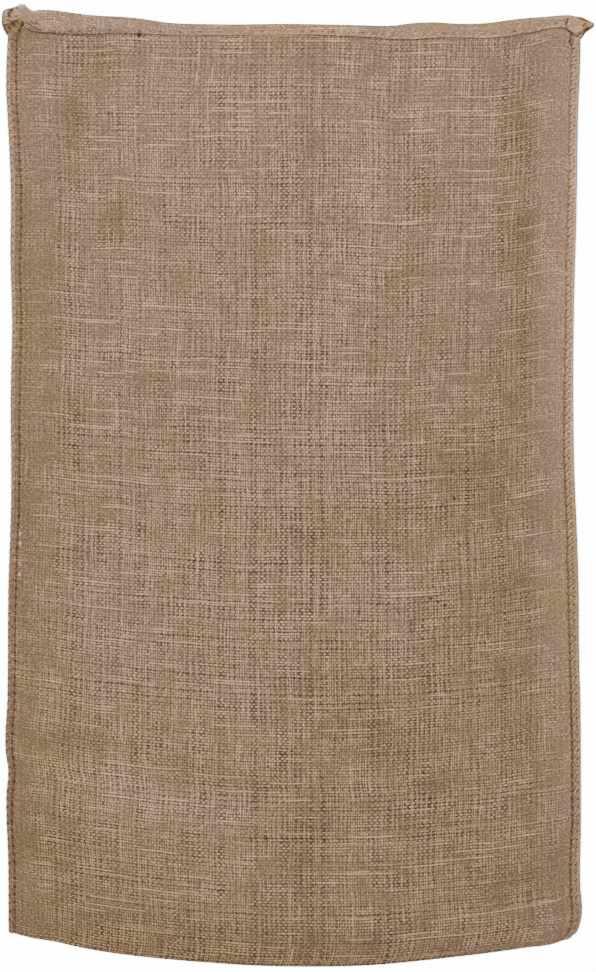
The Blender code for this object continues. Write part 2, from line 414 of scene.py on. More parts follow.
CREASES = (  # middle x, y, reach across, reach along, turn in degrees, height
    (-215.0, 330.0, 34.0, 150.0, 0.0, -0.8),
    (-150.0, 250.0, 40.0, 190.0, 0.0, 0.9),
    (-30.0, 330.0, 30.0, 150.0, 0.0, -0.6),
    (60.0, 320.0, 46.0, 170.0, 0.0, 1.2),
    (238.0, 330.0, 24.0, 120.0, 0.0, -1.0),
    (-140.0, -10.0, 60.0, 150.0, 0.0, 0.8),
    (20.0, -60.0, 36.0, 190.0, 0.0, -0.8),
    (178.0, 12.0, 46.0, 36.0, 0.0, -1.1),
    (-150.0, -262.0, 130.0, 22.0, 0.0, -0.9),
    (-165.0, -318.0, 120.0, 24.0, 0.0, 1.1),
    (60.0, -330.0, 40.0, 110.0, 0.0, -0.7),
    (190.0, -250.0, 50.0, 120.0, 0.0, 0.8),
)
EARS = (  # the bunched corners of the mouth: the same six numbers
    (-299.0, 493.0, 15.0, 15.0, 0.0, 2.6),
    (-296.5, 496.0, 5.0, 3.6, -15.0, 1.7),
    (-294.0, 505.0, 4.2, 3.2, 0.0, 1.8),
    (-308.0, 498.0, 3.2, 4.5, 0.0, 1.2),
    (-308.5, 487.0, 3.0, 5.0, 0.0, 1.3),
    (-304.8, 498.0, 1.4, 5.5, 0.0, -1.7),
    (-297.0, 490.0, 5.5, 1.4, 8.0, -1.6),
    (-291.0, 487.6, 2.2, 2.0, 0.0, -2.0),
    (-293.4, 480.5, 1.7, 7.5, -15.5, -1.9),
    (-301.5, 488.0, 2.0, 3.4, 40.0, -1.3),
    (301.0, 486.0, 11.0, 11.0, 0.0, 1.6),
    (289.0, 478.8, 8.0, 1.5, -37.0, -1.6),
    (296.8, 476.2, 1.4, 3.2, -42.0, -1.4),
    (284.2, 489.5, 1.6, 4.0, 10.0, -1.0),
    (301.0, 488.6, 3.0, 4.0, 0.0, 0.9),
)


def eased(distance, reach):
    """Rises from 0 at the edge to 1 at the reach, level at the top."""
    return sin(0.5 * pi * min(max(distance / reach, 0.0), 1.0))


def smooth(value, low, high):
    part = min(max((value - low) / (high - low), 0.0), 1.0)
    return part * part * (3 - 2 * part)


def read_off(places, up):
    """The value between two rows of a table that goes up the seam."""
    for (low, start), (high, end) in zip(places, places[1:]):
        if up <= high:
            return start + (end - start) * smooth(up, low, high)
    return places[-1][1]


def band_width(side, up):
    """The seam's band is wider in some places than in others, and wanders."""
    wander = noise.noise(Vector((up * 42.0, 6.3 if side == "left" else 1.9, 0.4)))
    return read_off(BANDS[side], up) + BAND_WANDER * wander


def turned_bell(x, y, middle_x, middle_y, across, along, turn):
    """One at the middle of an oval patch, falling softly to nought around it."""
    c, s = cos(radians(turn)), sin(radians(turn))
    dx, dy = x - middle_x, y - middle_y
    return exp(-(((dx * c + dy * s) / across) ** 2) - ((dy * c - dx * s) / along) ** 2)


def crease_lift(x, y):
    return sum(height * turned_bell(x, y, *patch) for *patch, height in CREASES)


def unevenness(x, y, seed):
    """Small waves: long ones that run with the sack, and shorter ones all ways."""
    long_waves = noise.noise(Vector((x / 34.0, y / 150.0, seed)))
    short_waves = noise.noise(Vector((x / 22.0, y / 26.0, seed + 7.3)))
    return 0.45 * long_waves + 0.22 * short_waves


def ear_lift(x, y):
    return sum(height * turned_bell(x, y, *patch) for *patch, height in EARS)


def hem_rise(up):
    """The back's own hem lifts the cloth near the mouth by one turn of cloth."""
    return HEM_LIFT * smooth(up, 0.975, 1.0)


def back_height(x, y, up):
    return BACK + hem_rise(up)


def front_height(x, y, up, inset, band):
    rise = hem_rise(up)
    if inset <= band:
        to_crown = smooth(inset, 0.3, 0.42 * band)
        to_groove = smooth(inset, 0.55 * band, band)
        height = SEAM_EDGE + (SEAM_CROWN - SEAM_EDGE) * to_crown
        height += (SEAM_GROOVE - height) * to_groove
        bunch = BUNCHING * smooth(up, BUNCHED_FROM, 1.0) * (1 - to_groove)
        return height + rise + bunch + ear_lift(x, y)
    slack_start = (FOLD_HEIGHT - SEAM_GROOVE) / LOFT
    from_fold = min(up, 1.0) * BODY_LENGTH
    slack = slack_start + (1 - slack_start) * eased(from_fold, FOLD_RISE)
    away = eased(inset - band, SIDE_RISE)
    lift = LOFT + crease_lift(x, y) + unevenness(x, y, 1.7) * min(1.0, from_fold / 30.0)
    return SEAM_GROOVE + slack * away * lift + rise + ear_lift(x, y)


# %% [markdown]
# ## One strip of cloth
#
# The whole sack is a single rectangle of cloth, so it is made as a single grid and then led
# along the real path: up the back's hem, over the mouth, down the back, round the bottom fold,
# up the front and out over the mouth again into the front hem. The columns of the grid are
# closer together at the seams, where the edge of the cloth is turned in, and the rows are
# closer at the hems and the fold. A column knows its place from the edge and how far it has
# turned over. A row knows its place along the sack, and how far it stands off the layer.

# %% Columns across the cloth
CELL = 8.0  # of the grid, away from the seams, the fold and the hem
HALF_TURN = [pi * step / 4 for step in range(1, 4)]
FLANGE = (1.2, 3.0, 4.6)  # the turned-in edge, from the turn inwards
BAND_START = 0.8  # from the edge, where the turn of the cloth ends
BAND_SHARES = (0.12, 0.24, 0.36, 0.48, 0.6, 0.72, 0.82, 0.91, 1.0)
BEYOND_SHARES = (0.09, 0.2, 0.32, 0.44, 0.55, 0.66, 0.77, 0.88)  # from the groove to INNER
INNER = 26.0  # from the edge, where the even columns begin


def seam_columns(side):
    """Columns of one seam from the turned-in edge inwards: side, turn, kind and place of each."""
    columns = [(side, pi, "fixed", place) for place in reversed(FLANGE)]
    for turn in reversed(HALF_TURN):
        columns.append((side, turn, "fixed", BACK + TURN * (1 - sin(turn))))
    columns += [(side, 0.0, "band", share) for share in BAND_SHARES]
    return columns + [(side, 0.0, "beyond", share) for share in BEYOND_SHARES]


def body_columns():
    count = round((WIDTH - 2 * INNER) / CELL)
    places = [INNER + (WIDTH - 2 * INNER) * k / count for k in range(count + 1)]
    return [("left", 0.0, "fixed", place) for place in places]


COLUMNS = seam_columns("left") + body_columns() + seam_columns("right")[::-1]


def inset_of(column, up):
    """How far a column is from its own edge, at a share of the way up."""
    side, _, kind, place = column
    if kind == "fixed":
        return place
    band = band_width(side, up)
    if kind == "band":
        return BAND_START + (band - BAND_START) * place
    return band + (INNER - band) * place


def across_share(column, up, outwards=0.0):
    share = (inset_of(column, up) - outwards) / WIDTH
    return share if column[0] == "left" else 1.0 - share


def edge_distance(column, up):
    """How far a column is from the nearer edge, and the width of that edge's band."""
    inset = inset_of(column, up)
    if inset > WIDTH / 2:
        return WIDTH - inset, band_width("right", up)
    return inset, band_width(column[0], up)


# %% Rows along the cloth
BODY_STARTS = (0.0, 1.6, 3.6, 6.5, 11.0)  # the first rows after the fold, in millimetres
HEM_SHARES = (0.0, 0.06, 0.13, 0.22, 0.32, 0.42, 0.52, 0.62, 0.72, 0.82, 0.91, 1.0)  # of its depth
LAST_EVEN_ROW = 0.985  # share of the way up
BODY_ENDS = (0.9905, 0.9950, 0.9978)  # rows just below the hem line


def body_ups():
    ups = [start / BODY_LENGTH for start in BODY_STARTS]
    last = ups[-1]
    count = round((LAST_EVEN_ROW - last) * BODY_LENGTH / CELL)
    ups += [last + (LAST_EVEN_ROW - last) * k / count for k in range(1, count + 1)]
    return ups + list(BODY_ENDS)


def layer_rows(layer):
    """Rows of one layer from the bottom to the end of its hem: layer, up, out, ahead."""
    rows = [(layer, up, 0.0, 0.0) for up in body_ups()]
    rows += [(layer, 1.0 + share, 0.0, 0.0) for share in HEM_SHARES]
    for turn in HALF_TURN:
        rows.append((layer, 2.0, TURN * (1 - cos(turn)), TURN * sin(turn)))
    return rows + [(layer, 1.0 + share, 2 * TURN, 0.0) for share in reversed(HEM_SHARES)]


FOLD_TURNS = [pi * step / 8 for step in range(1, 8)]
ROWS = layer_rows("back")[::-1]
ROWS += [("fold", turn, 0.0, 0.0) for turn in FOLD_TURNS]
ROWS += layer_rows("front")
print("grid:", len(COLUMNS), "columns by", len(ROWS), "rows")


# %% [markdown]
# A row or column that stands off the layer moves along the way the cloth faces there. On the
# flat parts that is straight up or down, and where the edge of the cloth is turned in it swings
# out past the edge and on towards the middle of the seam. That one rule lets the hem pass
# round the turned-in edges just as the layers do.

# %% Where each crossing of the grid lies
FOLD_RADIUS = (FOLD_HEIGHT - BACK) / 2


def fold_facing(across):
    """The way the bottom fold faces at a share of the width: outwards and level."""
    before = curve_at(BOTTOM_FOLD, across - 0.02)
    after = curve_at(BOTTOM_FOLD, across + 0.02)
    along = (after - before).normalized()
    return Vector((along.y, -along.x))


def inner_fold_line():
    """The line at which both layers end and the round of the fold begins."""
    step = FOLD_RADIUS + BACK
    shares = [k / 24 for k in range(25)]
    return [tuple(curve_at(BOTTOM_FOLD, share) - fold_facing(share) * step) for share in shares]


FOLD_LINE = inner_fold_line()
BODY = Patch(
    FOLD_LINE,
    HEM_LINE,
    FOLD_LINE[:1] + list(LEFT_SIDE[1:]),
    FOLD_LINE[-1:] + list(RIGHT_SIDE[1:]),
)
MOUTH_LINE = shifted(MOUTH_EDGE, -TURN - BACK)
HEM = Patch(
    HEM_LINE,
    MOUTH_LINE,
    list(LEFT_EAR[:-1]) + MOUTH_LINE[:1],
    list(RIGHT_EAR[:-1]) + MOUTH_LINE[-1:],
)


def flat_place(across, up):
    return BODY.at(across, up) if up <= 1.0 else HEM.at(across, up - 1.0)


def hem_edge(across):
    """The front hem's raw edge runs up to the knot at its left end, as a share of its depth."""
    return 0.42 * (1 - smooth(across * WIDTH, 14.0, 30.0))


def layer_point(column, layer, up, out, ahead):
    """A point of the front or back layer or of its hem, in millimetres."""
    turn = column[1]
    across = across_share(column, up, out * sin(turn))
    if layer == "front" and out > TURN and ahead == 0.0:
        start = hem_edge(across)
        up = 1.0 + start + (1.0 - start) * (up - 1.0)
    x, y = flat_place(across, up)
    inset, band = edge_distance(column, up)
    drop = TURN * (1 - cos(turn)) - out * cos(turn)
    if layer == "front":
        return x, y + ahead, front_height(x, y, up, inset, band) - drop
    return x, y + ahead, back_height(x, y, up) + drop


def strip_point(column, row):
    layer, up, out, ahead = row
    if layer != "fold":
        return layer_point(column, layer, up, out, ahead)
    x, y, low = layer_point(column, "back", 0.0, 0.0, 0.0)
    high = layer_point(column, "front", 0.0, 0.0, 0.0)[2]
    radius = (high - low) / 2
    reach = fold_facing(across_share(column, 0.0)) * radius * sin(up)
    return x + reach.x, y + reach.y, low + radius * (1 - cos(up))


# %% [markdown]
# ## Stains, wear, painted shade and painted light
#
# The cloth is a little darker or lighter in broad soft patches, and damp has left the lower left
# side and parts of the hem slightly olive. Some patches are painted shade and light: painted
# shade down the left side, along the left seam, the right outer edge, the bottom and the left part
# of the hem's edge, painted light down the right side and its seam, and a painted highlight on
# the lobe of the left corner. Each patch is a row of a table, and together they give every point
# of the cloth a colour by which the weave's own colour is multiplied. How the cloth is turned
# adds painted shade on the bottom fold, the turned-in edges and the mouth's rim, and painted
# light below the hem's flap. The back, which nobody arranged, gets loose patches from noise.
#
# The first rows are the dark and light patches, with the painted shade and light among them, and
# the marks along the seams, then come the olive ones, and last the small marks on the two corners
# of the mouth and along the hem.

# %% Table of stains and of painted shade and light
TINTS = {
    "dark": (0.76, 0.75, 0.74),
    "light": (1.22, 1.23, 1.25),
    "olive": (0.95, 1.01, 0.82),
    "ochre": (1.25, 1.12, 0.70),
    "brown": (0.78, 0.66, 0.56),
    "slate": (0.72, 0.84, 0.88),
    "pink": (1.30, 1.14, 1.16),
    "lilac": (1.28, 1.36, 1.62),
    "peach": (1.24, 1.02, 0.86),
}
STAINS_AND_SHADING = (  # tint, strength, middle x, y, reach across, reach along, turn in degrees
    ("dark", 0.9, 237.0, 377.0, 15.0, 32.0, 0.0),
    ("dark", 0.9, 238.0, 264.0, 15.0, 36.0, 0.0),
    ("dark", 0.6, 235.0, 174.0, 15.0, 63.0, 0.0),
    ("dark", 0.8, 190.0, 3.0, 21.0, 27.0, 0.0),
    ("dark", 0.5, 166.0, 16.0, 42.0, 48.0, 0.0),
    ("dark", 0.4, 213.0, -21.0, 26.0, 32.0, 0.0),
    ("dark", 0.5, 229.0, -106.0, 21.0, 26.0, 0.0),
    ("dark", 0.4, 197.0, -153.0, 63.0, 74.0, 0.0),
    ("dark", 0.6, 23.0, -42.0, 17.0, 25.0, 0.0),
    ("dark", 0.3, 81.0, -48.0, 63.0, 32.0, 0.0),
    ("dark", 0.8, 84.0, -267.0, 23.0, 23.0, 0.0),
    ("dark", 0.5, 50.0, -227.0, 42.0, 53.0, 0.0),
    ("dark", 0.6, -8.0, -385.0, 48.0, 48.0, 0.0),
    ("dark", 0.4, 139.0, -290.0, 53.0, 84.0, 0.0),
    ("dark", 0.6, 213.0, -417.0, 48.0, 42.0, 0.0),
    ("dark", 0.4, 245.0, -269.0, 26.0, 63.0, 0.0),
    ("dark", 0.7, -241.0, -271.0, 58.0, 11.0, -8.0),
    ("dark", 0.5, -114.0, -299.0, 74.0, 13.0, -8.0),
    ("dark", 0.6, -272.0, -375.0, 32.0, 30.0, 0.0),
    ("dark", 0.7, -188.0, 286.0, 13.0, 32.0, 0.0),
    ("dark", 0.7, -235.0, 388.0, 13.0, 27.0, 0.0),
    ("dark", 0.5, -45.0, 211.0, 13.0, 42.0, 0.0),
    ("dark", 0.4, -91.0, 248.0, 17.0, 15.0, 0.0),
    ("dark", 0.4, 118.0, 227.0, 13.0, 32.0, 0.0),
    # painted shade along the left seam
    ("dark", 0.5, -285.0, 90.0, 9.0, 320.0, 0.0),
    # painted shade along the bottom
    ("dark", 0.6, 2.0, -491.0, 360.0, 34.0, 0.0),
    ("dark", 0.3, -199.0, -454.0, 137.0, 23.0, 0.0),
    ("dark", 0.4, -88.0, -32.0, 15.0, 17.0, 0.0),
    ("dark", 0.3, -146.0, 90.0, 11.0, 42.0, 0.0),
    ("dark", 0.4, -220.0, 448.0, 34.0, 13.0, 0.0),
    # painted shadow under the left part of the hem's edge
    ("dark", 1.0, -240.0, 477.0, 80.0, 4.0, 0.0),
    # painted light down the right side
    ("light", 1.0, 275.0, 385.0, 18.0, 95.0, 0.0),
    ("light", 1.0, 272.0, 195.0, 18.0, 95.0, 0.0),
    ("light", 0.9, 281.0, 5.0, 14.0, 148.0, 0.0),
    ("light", 0.7, 289.0, -311.0, 10.0, 169.0, 0.0),
    ("light", 0.75, 280.0, -20.0, 20.0, 560.0, 0.0),
    ("light", 0.2, 252.0, -20.0, 14.0, 560.0, 0.0),
    ("dark", 0.2, 230.0, 200.0, 18.0, 420.0, 0.0),
    # painted shade down the left side
    ("dark", 0.25, -248.0, 200.0, 24.0, 420.0, 0.0),
    ("light", 1.0, -301.5, 120.0, 6.5, 420.0, 0.0),
    ("light", 0.6, -303.5, 0.0, 6.0, 560.0, 0.0),
    # painted light on the right seam's band
    ("light", 0.9, 291.0, 270.0, 9.0, 240.0, 0.0),
    ("light", 0.6, 295.0, 270.0, 5.0, 200.0, 0.0),
    # painted shade along the right outer edge
    ("dark", 0.95, 297.2, -310.0, 3.6, 200.0, 0.0),
    ("dark", 0.9, 293.0, -40.0, 3.4, 120.0, 0.0),
    ("lilac", 0.5, 292.5, 330.0, 2.8, 48.0, 0.0),
    ("olive", 0.9, 287.0, 330.0, 2.6, 48.0, 0.0),
    ("ochre", 0.3, 293.0, -100.0, 6.0, 130.0, 0.0),
    ("light", 0.4, -280.0, -60.0, 15.0, 480.0, 0.0),
    ("light", 0.25, 258.0, 20.0, 12.0, 480.0, 0.0),
    ("light", 0.5, 206.0, 450.0, 22.0, 20.0, 0.0),
    ("light", 0.5, 208.0, 186.0, 16.0, 28.0, 0.0),
    ("light", 0.35, -284.0, 80.0, 12.0, 40.0, 0.0),
    ("light", 0.3, -25.0, -420.0, 50.0, 24.0, 0.0),
    ("light", 0.45, -284.0, 350.0, 12.0, 70.0, 0.0),
    ("light", 0.3, -284.0, 130.0, 12.0, 110.0, 0.0),
    ("light", 0.5, -282.0, -405.0, 16.0, 50.0, 0.0),
    ("light", 0.6, 273.0, -180.0, 11.0, 120.0, 0.0),
    ("light", 0.5, 230.0, -462.0, 60.0, 28.0, 0.0),
    ("light", 0.3, 208.0, -300.0, 20.0, 40.0, 0.0),
    ("light", 0.7, 81.0, 317.0, 25.0, 21.0, 0.0),
    ("light", 0.4, 81.0, 385.0, 23.0, 53.0, 0.0),
    ("light", 0.5, 139.0, 417.0, 27.0, 53.0, 0.0),
    ("light", 0.6, -228.0, 134.0, 17.0, 15.0, 0.0),
    ("light", 0.3, -199.0, 164.0, 53.0, 42.0, 0.0),
    ("light", 0.5, -177.0, 420.0, 74.0, 10.0, 0.0),
    ("light", 0.6, -225.0, -309.0, 42.0, 11.0, -8.0),
    ("light", 0.8, -114.0, -338.0, 74.0, 21.0, -8.0),
    ("light", 0.4, -77.0, -364.0, 27.0, 13.0, 0.0),
    ("light", 0.3, -172.0, 364.0, 42.0, 53.0, 0.0),
    ("light", 0.4, -14.0, 206.0, 11.0, 42.0, 0.0),
    ("light", 0.3, 50.0, 143.0, 13.0, 53.0, 0.0),
    ("light", 0.3, 102.0, -142.0, 17.0, 84.0, 0.0),
    ("light", 0.35, -199.0, -132.0, 53.0, 53.0, 0.0),
    ("olive", 0.9, -289.0, 163.0, 9.0, 80.0, 0.0),
    ("olive", 0.9, -289.0, -210.0, 12.0, 16.0, 30.0),
    ("olive", 0.9, -268.0, -286.0, 34.0, 13.0, -30.0),
    ("olive", 0.9, -278.0, -382.0, 28.0, 12.0, -20.0),
    ("olive", 0.8, -250.0, -398.0, 32.0, 9.0, 0.0),
    ("olive", 0.8, -266.0, -442.0, 32.0, 9.0, 0.0),
    ("olive", 0.9, -205.0, -482.0, 90.0, 13.0, -5.0),
    ("olive", 0.7, -72.0, -496.0, 40.0, 12.0, 0.0),
    ("olive", 0.5, -190.0, -462.0, 90.0, 22.0, 0.0),
    ("olive", 0.4, -282.0, -330.0, 20.0, 110.0, 0.0),
    ("olive", 0.7, 292.0, 10.0, 9.0, 34.0, 0.0),
    ("olive", 0.7, 279.0, -42.0, 14.0, 7.0, 0.0),
    ("olive", 1.2, 277.0, -120.0, 17.0, 13.0, 0.0),
    ("olive", 0.8, 274.0, -232.0, 12.0, 12.0, 0.0),
    ("olive", 0.9, 275.0, -284.0, 10.0, 14.0, 0.0),
    ("olive", 0.6, -206.0, 438.0, 8.0, 8.0, 0.0),
    ("ochre", 0.9, -296.5, 495.0, 5.5, 4.0, -15.0),
    ("peach", 0.9, -291.6, 497.2, 3.8, 3.4, 0.0),
    # painted highlight on the lit rim of the left corner's lobe
    ("light", 0.8, -299.2, 491.4, 3.6, 1.5, -8.0),
    ("olive", 1.0, -302.0, 487.0, 4.5, 4.5, 0.0),
    ("ochre", 0.8, -303.0, 489.5, 3.0, 3.0, 0.0),
    ("ochre", 0.8, -300.0, 481.5, 4.5, 4.0, 0.0),
    ("brown", 0.8, -304.7, 497.5, 2.0, 5.0, 0.0),
    ("brown", 0.7, -304.5, 480.5, 3.5, 4.0, 0.0),
    ("slate", 0.9, -310.5, 487.0, 3.0, 6.0, 0.0),
    ("pink", 0.9, -310.5, 498.0, 3.5, 4.5, 0.0),
    ("lilac", 1.0, -291.5, 505.6, 5.6, 4.4, 0.0),
    ("lilac", 0.9, -291.5, 506.6, 5.6, 3.4, 0.0),
    ("ochre", 0.7, -238.0, 497.0, 10.0, 3.0, -8.0),
    ("ochre", 0.5, -2.0, 482.0, 70.0, 5.0, 0.0),
    ("ochre", 0.9, 144.0, 484.0, 9.0, 4.0, 0.0),
    ("ochre", 0.9, 207.0, 485.0, 12.0, 5.0, 0.0),
    ("pink", 0.8, 238.0, 486.0, 10.0, 5.0, 0.0),
    ("ochre", 1.0, 300.5, 486.0, 4.5, 5.0, 0.0),
    ("ochre", 0.8, 299.5, 483.0, 3.5, 4.0, 0.0),
    ("slate", 0.9, 303.0, 480.0, 4.5, 3.0, 35.0),
    ("pink", 0.9, 309.5, 486.5, 4.0, 3.5, 0.0),
)

# %% [markdown]
# Wear also hides the weave. Where the sack was rubbed or pressed, loose fibres lie over the
# yarns and the small dark gaps close, and in the middle of the sack the weave stays crisp.

# %% Table of felted places, and the colour at any point
FELTED = (  # middle x, y, reach across, reach along, turn, how much more felted over
    (150.0, 190.0, 60.0, 230.0, 0.0, 0.07),
    (222.0, -60.0, 45.0, 560.0, 0.0, 0.06),
    (262.0, 170.0, 36.0, 380.0, 0.0, 0.04),
    (225.0, -270.0, 45.0, 110.0, 0.0, -0.02),
    (-200.0, 320.0, 80.0, 130.0, 0.0, 0.07),
    (-190.0, 60.0, 80.0, 130.0, 0.0, 0.06),
    (0.0, 460.0, 420.0, 90.0, 0.0, 0.08),
    (-20.0, -70.0, 150.0, 170.0, 0.0, -0.06),
    (40.0, 130.0, 30.0, 160.0, 0.0, -0.03),
    (0.0, -430.0, 420.0, 40.0, 0.0, 0.04),
)

CLOUDS = 0.07  # how much lighter or darker the loose patches are
FOLD_SHADE = 0.45  # painted shade: how much darker the bottom fold is at its outermost line
TURNED_EDGE_SHADE = (0.86, 0.86, 0.86)  # painted shade where a side edge turns in
MOUTH_RIM_SHADE = (0.56, 0.64, 0.75)  # grey painted shade along the mouth's rim
HEM_FLAP = (1.42, 1.45, 1.52)  # the flap is bleached, most of all in the blue
BELOW_HEM_LIGHT = (1.06, 1.06, 1.06)  # painted light on the strip under the flap's edge, which lifts its shadow


def felting_at(x, y):
    """How far the fibres hide the weave here, more or less than elsewhere."""
    return sum(amount * turned_bell(x, y, *patch) for *patch, amount in FELTED)


def tint_and_shading_by_turn(row, turn):
    """The tint that a point has from how the cloth is folded or turned there: painted shade on the
    fold, the edges and the mouth's rim, painted light below the flap, and the flap's own colour.
    """
    layer, up, out, ahead = row
    if layer == "fold":
        return [1.0 - FOLD_SHADE * sin(up) ** 2] * 3
    if 0.0 < turn < pi:
        return TURNED_EDGE_SHADE
    if ahead > 0.0:
        return MOUTH_RIM_SHADE
    if out > TURN:
        return HEM_FLAP
    return BELOW_HEM_LIGHT if 0.997 < up < 1.1 else (1.0, 1.0, 1.0)


def stain_and_shading_at(x, y, row, turn):
    """The tint of a point of the cloth, from how it is turned there and from the table of stains and
    painted shade and light.
    """
    layer = row[0]
    seed = 11.9 if layer == "back" else 3.1
    cloud = noise.fractal(Vector((x / 60.0, y / 90.0, seed)), 1.0, 2.0, 3)
    tint = Vector(tint_and_shading_by_turn(row, turn)) * (1.0 + CLOUDS * cloud)
    if layer == "back":
        return tint
    for name, strength, *patch in STAINS_AND_SHADING:
        share = strength * turned_bell(x, y, *patch)
        for axis in range(3):
            tint[axis] *= 1.0 + share * (TINTS[name][axis] - 1.0)
    return tint


# %% [markdown]
# Now the grid itself. It starts as a flat plane from one operator, and each crossing is moved
# to its place on the sack. Its UV map is in metres of cloth, measured across and along the
# strip, so that the weave bends round every fold with the cloth.

# %% Lay the strip
SPARE = 1100.0  # added to every place along the cloth, so that none is below nought


def girths(places):
    """Distances along a line of points, from its start, in millimetres."""
    total, found = 0.0, [0.0]
    for here, there in zip(places, places[1:]):
        total += (Vector(there) - Vector(here)).length
        found.append(total)
    return found


def make_piece(name, bm, material):
    """Puts a finished bmesh in the scene as a smooth piece that rides on the sack."""
    mesh = bpy.data.meshes.new(name)
    bm.to_mesh(mesh)
    bm.free()
    mesh.shade_smooth()
    mesh.materials.append(material)
    piece = bpy.data.objects.new(name, mesh)
    bpy.context.scene.collection.objects.link(piece)
    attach(piece, "root")
    return piece


def hem_girths(column, layer):
    """How far along the cloth each hem row of a column is from the hem line."""
    rows = [row for row in layer_rows(layer) if row[1] >= 1.0]
    return dict(zip(rows, girths([strip_point(column, row) for row in rows])))


def cloth_lengths(column):
    """Place along the cloth of each row of one column, measured from the fold's middle."""
    along = []
    hems = {layer: hem_girths(column, layer) for layer in ("back", "front")}
    for row in ROWS:
        layer, up = row[:2]
        if layer == "fold":
            along.append((up - pi / 2) * FOLD_RADIUS)
            continue
        length = FOLD_RADIUS * pi / 2 + min(up, 1.0) * BODY_LENGTH + hems[layer].get(row, 0.0)
        along.append(length if layer == "front" else -length)
    return along


def cloth_widths(row):
    """Place across the cloth of each column of one row, all rows brought to the same width."""
    across = girths([strip_point(column, row) for column in COLUMNS])
    return [place * CUT_WIDTH / across[-1] for place in across]


def seam_mark(column, row):
    """Where a point is among the stitches: from the groove, stitch count, left or right."""
    layer, up = row[:2]
    if layer == "fold":
        up = 0.0
    inset, band = edge_distance(column, up)
    if layer == "fold" or up > 1.0:
        return inset - band, 0.0, 0.0
    right = across_share(column, up) > 0.5
    pull = read_off(PULL["right"], up) if right else -read_off(PULL["left"], up)
    return inset - band, (up * BODY_LENGTH - FIRST_STITCH) / STITCH_PITCH, pull


def hem_mark(column, row):
    """Where a point is at the front hem: up from its raw edge, stitch count, on it or not."""
    layer, up, out, ahead = row
    if layer != "front" or up < 0.97:
        return -30.0, 0.0, 0.0
    across = across_share(column, up)
    raised = hem_edge(across)
    depth = (flat_place(across, 2.0) - flat_place(across, 1.0)).length
    count = across * WIDTH / HEM_STITCH
    if out > TURN:
        return (up - 1.0) * (1.0 - raised) * depth, count, 1.0
    return min(up - 1.0, 0.0) * BODY_LENGTH + (max(up - 1.0, 0.0) - raised) * depth, count, 0.0


def crossing_layers(bm):
    """What every crossing of the grid carries, for the cloth's material to read."""
    layers = bm.verts.layers
    return {
        "stain_and_shading": layers.float_color.new("stain_and_shading"),
        "seam": layers.float_vector.new("seam"),
        "hem": layers.float_vector.new("hem"),
        "felting": layers.float.new("felting"),
    }


def set_crossing(vert, layers, column, row):
    """Moves a crossing to its place on the sack and gives it its marks."""
    x, y, z = strip_point(column, row)
    vert.co = (x * MM, y * MM, z * MM)
    vert[layers["stain_and_shading"]] = (*stain_and_shading_at(x, y, row, column[1]), 1.0)
    vert[layers["seam"]] = seam_mark(column, row)
    vert[layers["hem"]] = hem_mark(column, row)
    vert[layers["felting"]] = felting_at(x, y)


def lay_strip(material):
    bm = bmesh.new()
    across, along = len(COLUMNS) - 1, len(ROWS) - 1
    bmesh.ops.create_grid(bm, x_segments=across, y_segments=along, size=0.5)
    layers = crossing_layers(bm)
    wide = [cloth_widths(row) for row in ROWS]
    long = [cloth_lengths(column) for column in COLUMNS]
    places = {}
    for vert in bm.verts:
        column = round((vert.co.x + 0.5) * across)
        row = round((vert.co.y + 0.5) * along)
        set_crossing(vert, layers, COLUMNS[column], ROWS[row])
        places[vert] = (wide[row][column] * MM, (long[column][row] + SPARE) * MM)
    cloth = bm.loops.layers.uv.new("cloth")
    for face in bm.faces:
        for loop in face.loops:
            loop[cloth].uv = places[loop.vert]
    bmesh.ops.recalc_face_normals(bm, faces=bm.faces[:])
    piece = make_piece("sack_body", bm, material)
    wall = piece.modifiers.new("wall", "SOLIDIFY")
    wall.thickness = THICK * MM
    wall.offset = 0.0
    middle = long[len(COLUMNS) // 2]
    length = middle[-1] - middle[0]
    print("cut cloth:", round(CUT_WIDTH), "by", round(length), "mm")
    return piece, (CUT_WIDTH * MM, length * MM)


# %% [markdown]
# ## The weave
#
# Hessian is a plain weave: each weft passes over one warp and under the next, and neighbouring
# wefts do the opposite. The yarns are uneven, thick in one place and thin in another, and
# they wander, so small dark gaps open where two thin places meet. Modelling 150 thousand
# crossings is out of reach, so the weave is worked out in the material from the cloth's own UV
# map, as a height for the bump and as a shade for the colour. The node group counts the yarns
# both ways, finds which one is on top at each crossing, and rounds each yarn's section.

# %% The weave group
WEAVE_INPUTS = (
    ("Cloth", "Vector"),
    ("Warp Pitch", "Float"),
    ("Weft Pitch", "Float"),
    ("Wander", "Float"),
    ("Crowding", "Float"),
    ("Slubs", "Float"),
    ("Fullness", "Float"),
    ("Knuckle", "Float"),
    ("Lead", "Float"),
)
WEAVE_OUTPUTS = (
    ("Height", "Float"),
    ("Shade", "Float"),
    ("Slub", "Float"),
    ("Warp Over", "Float"),
    ("Gap", "Float"),
    ("Crossing", "Float"),
    ("Fibre", "Float"),
)
STREAK_FINE = 2600.0  # streaks of fibre to the metre, across a yarn
STREAK_LONG = 240.0  # and along it
WARP_HABITS = {  # scales are per metre of cloth
    "seed": 0.3,
    "crowd across": 140.0,
    "crowd along": 9.0,
    "crowding": 0.7,
    "fullness": -0.09,
    "shading": 0.65,
    "astray": 0.72,
    "uneven": 90.0,
    "pairing": 0.46,
    "slub": 24.0,
    "slub from": 0.66,
}
WEFT_HABITS = {
    "seed": 5.7,
    "crowd across": 75.0,
    "crowd along": 5.0,
    "crowding": 0.24,
    "fullness": 0.02,
    "shading": 0.2,
    "astray": 0.38,
    "uneven": 95.0,
    "pairing": 0.04,
    "slub": 15.0,
    "slub from": 0.63,
}


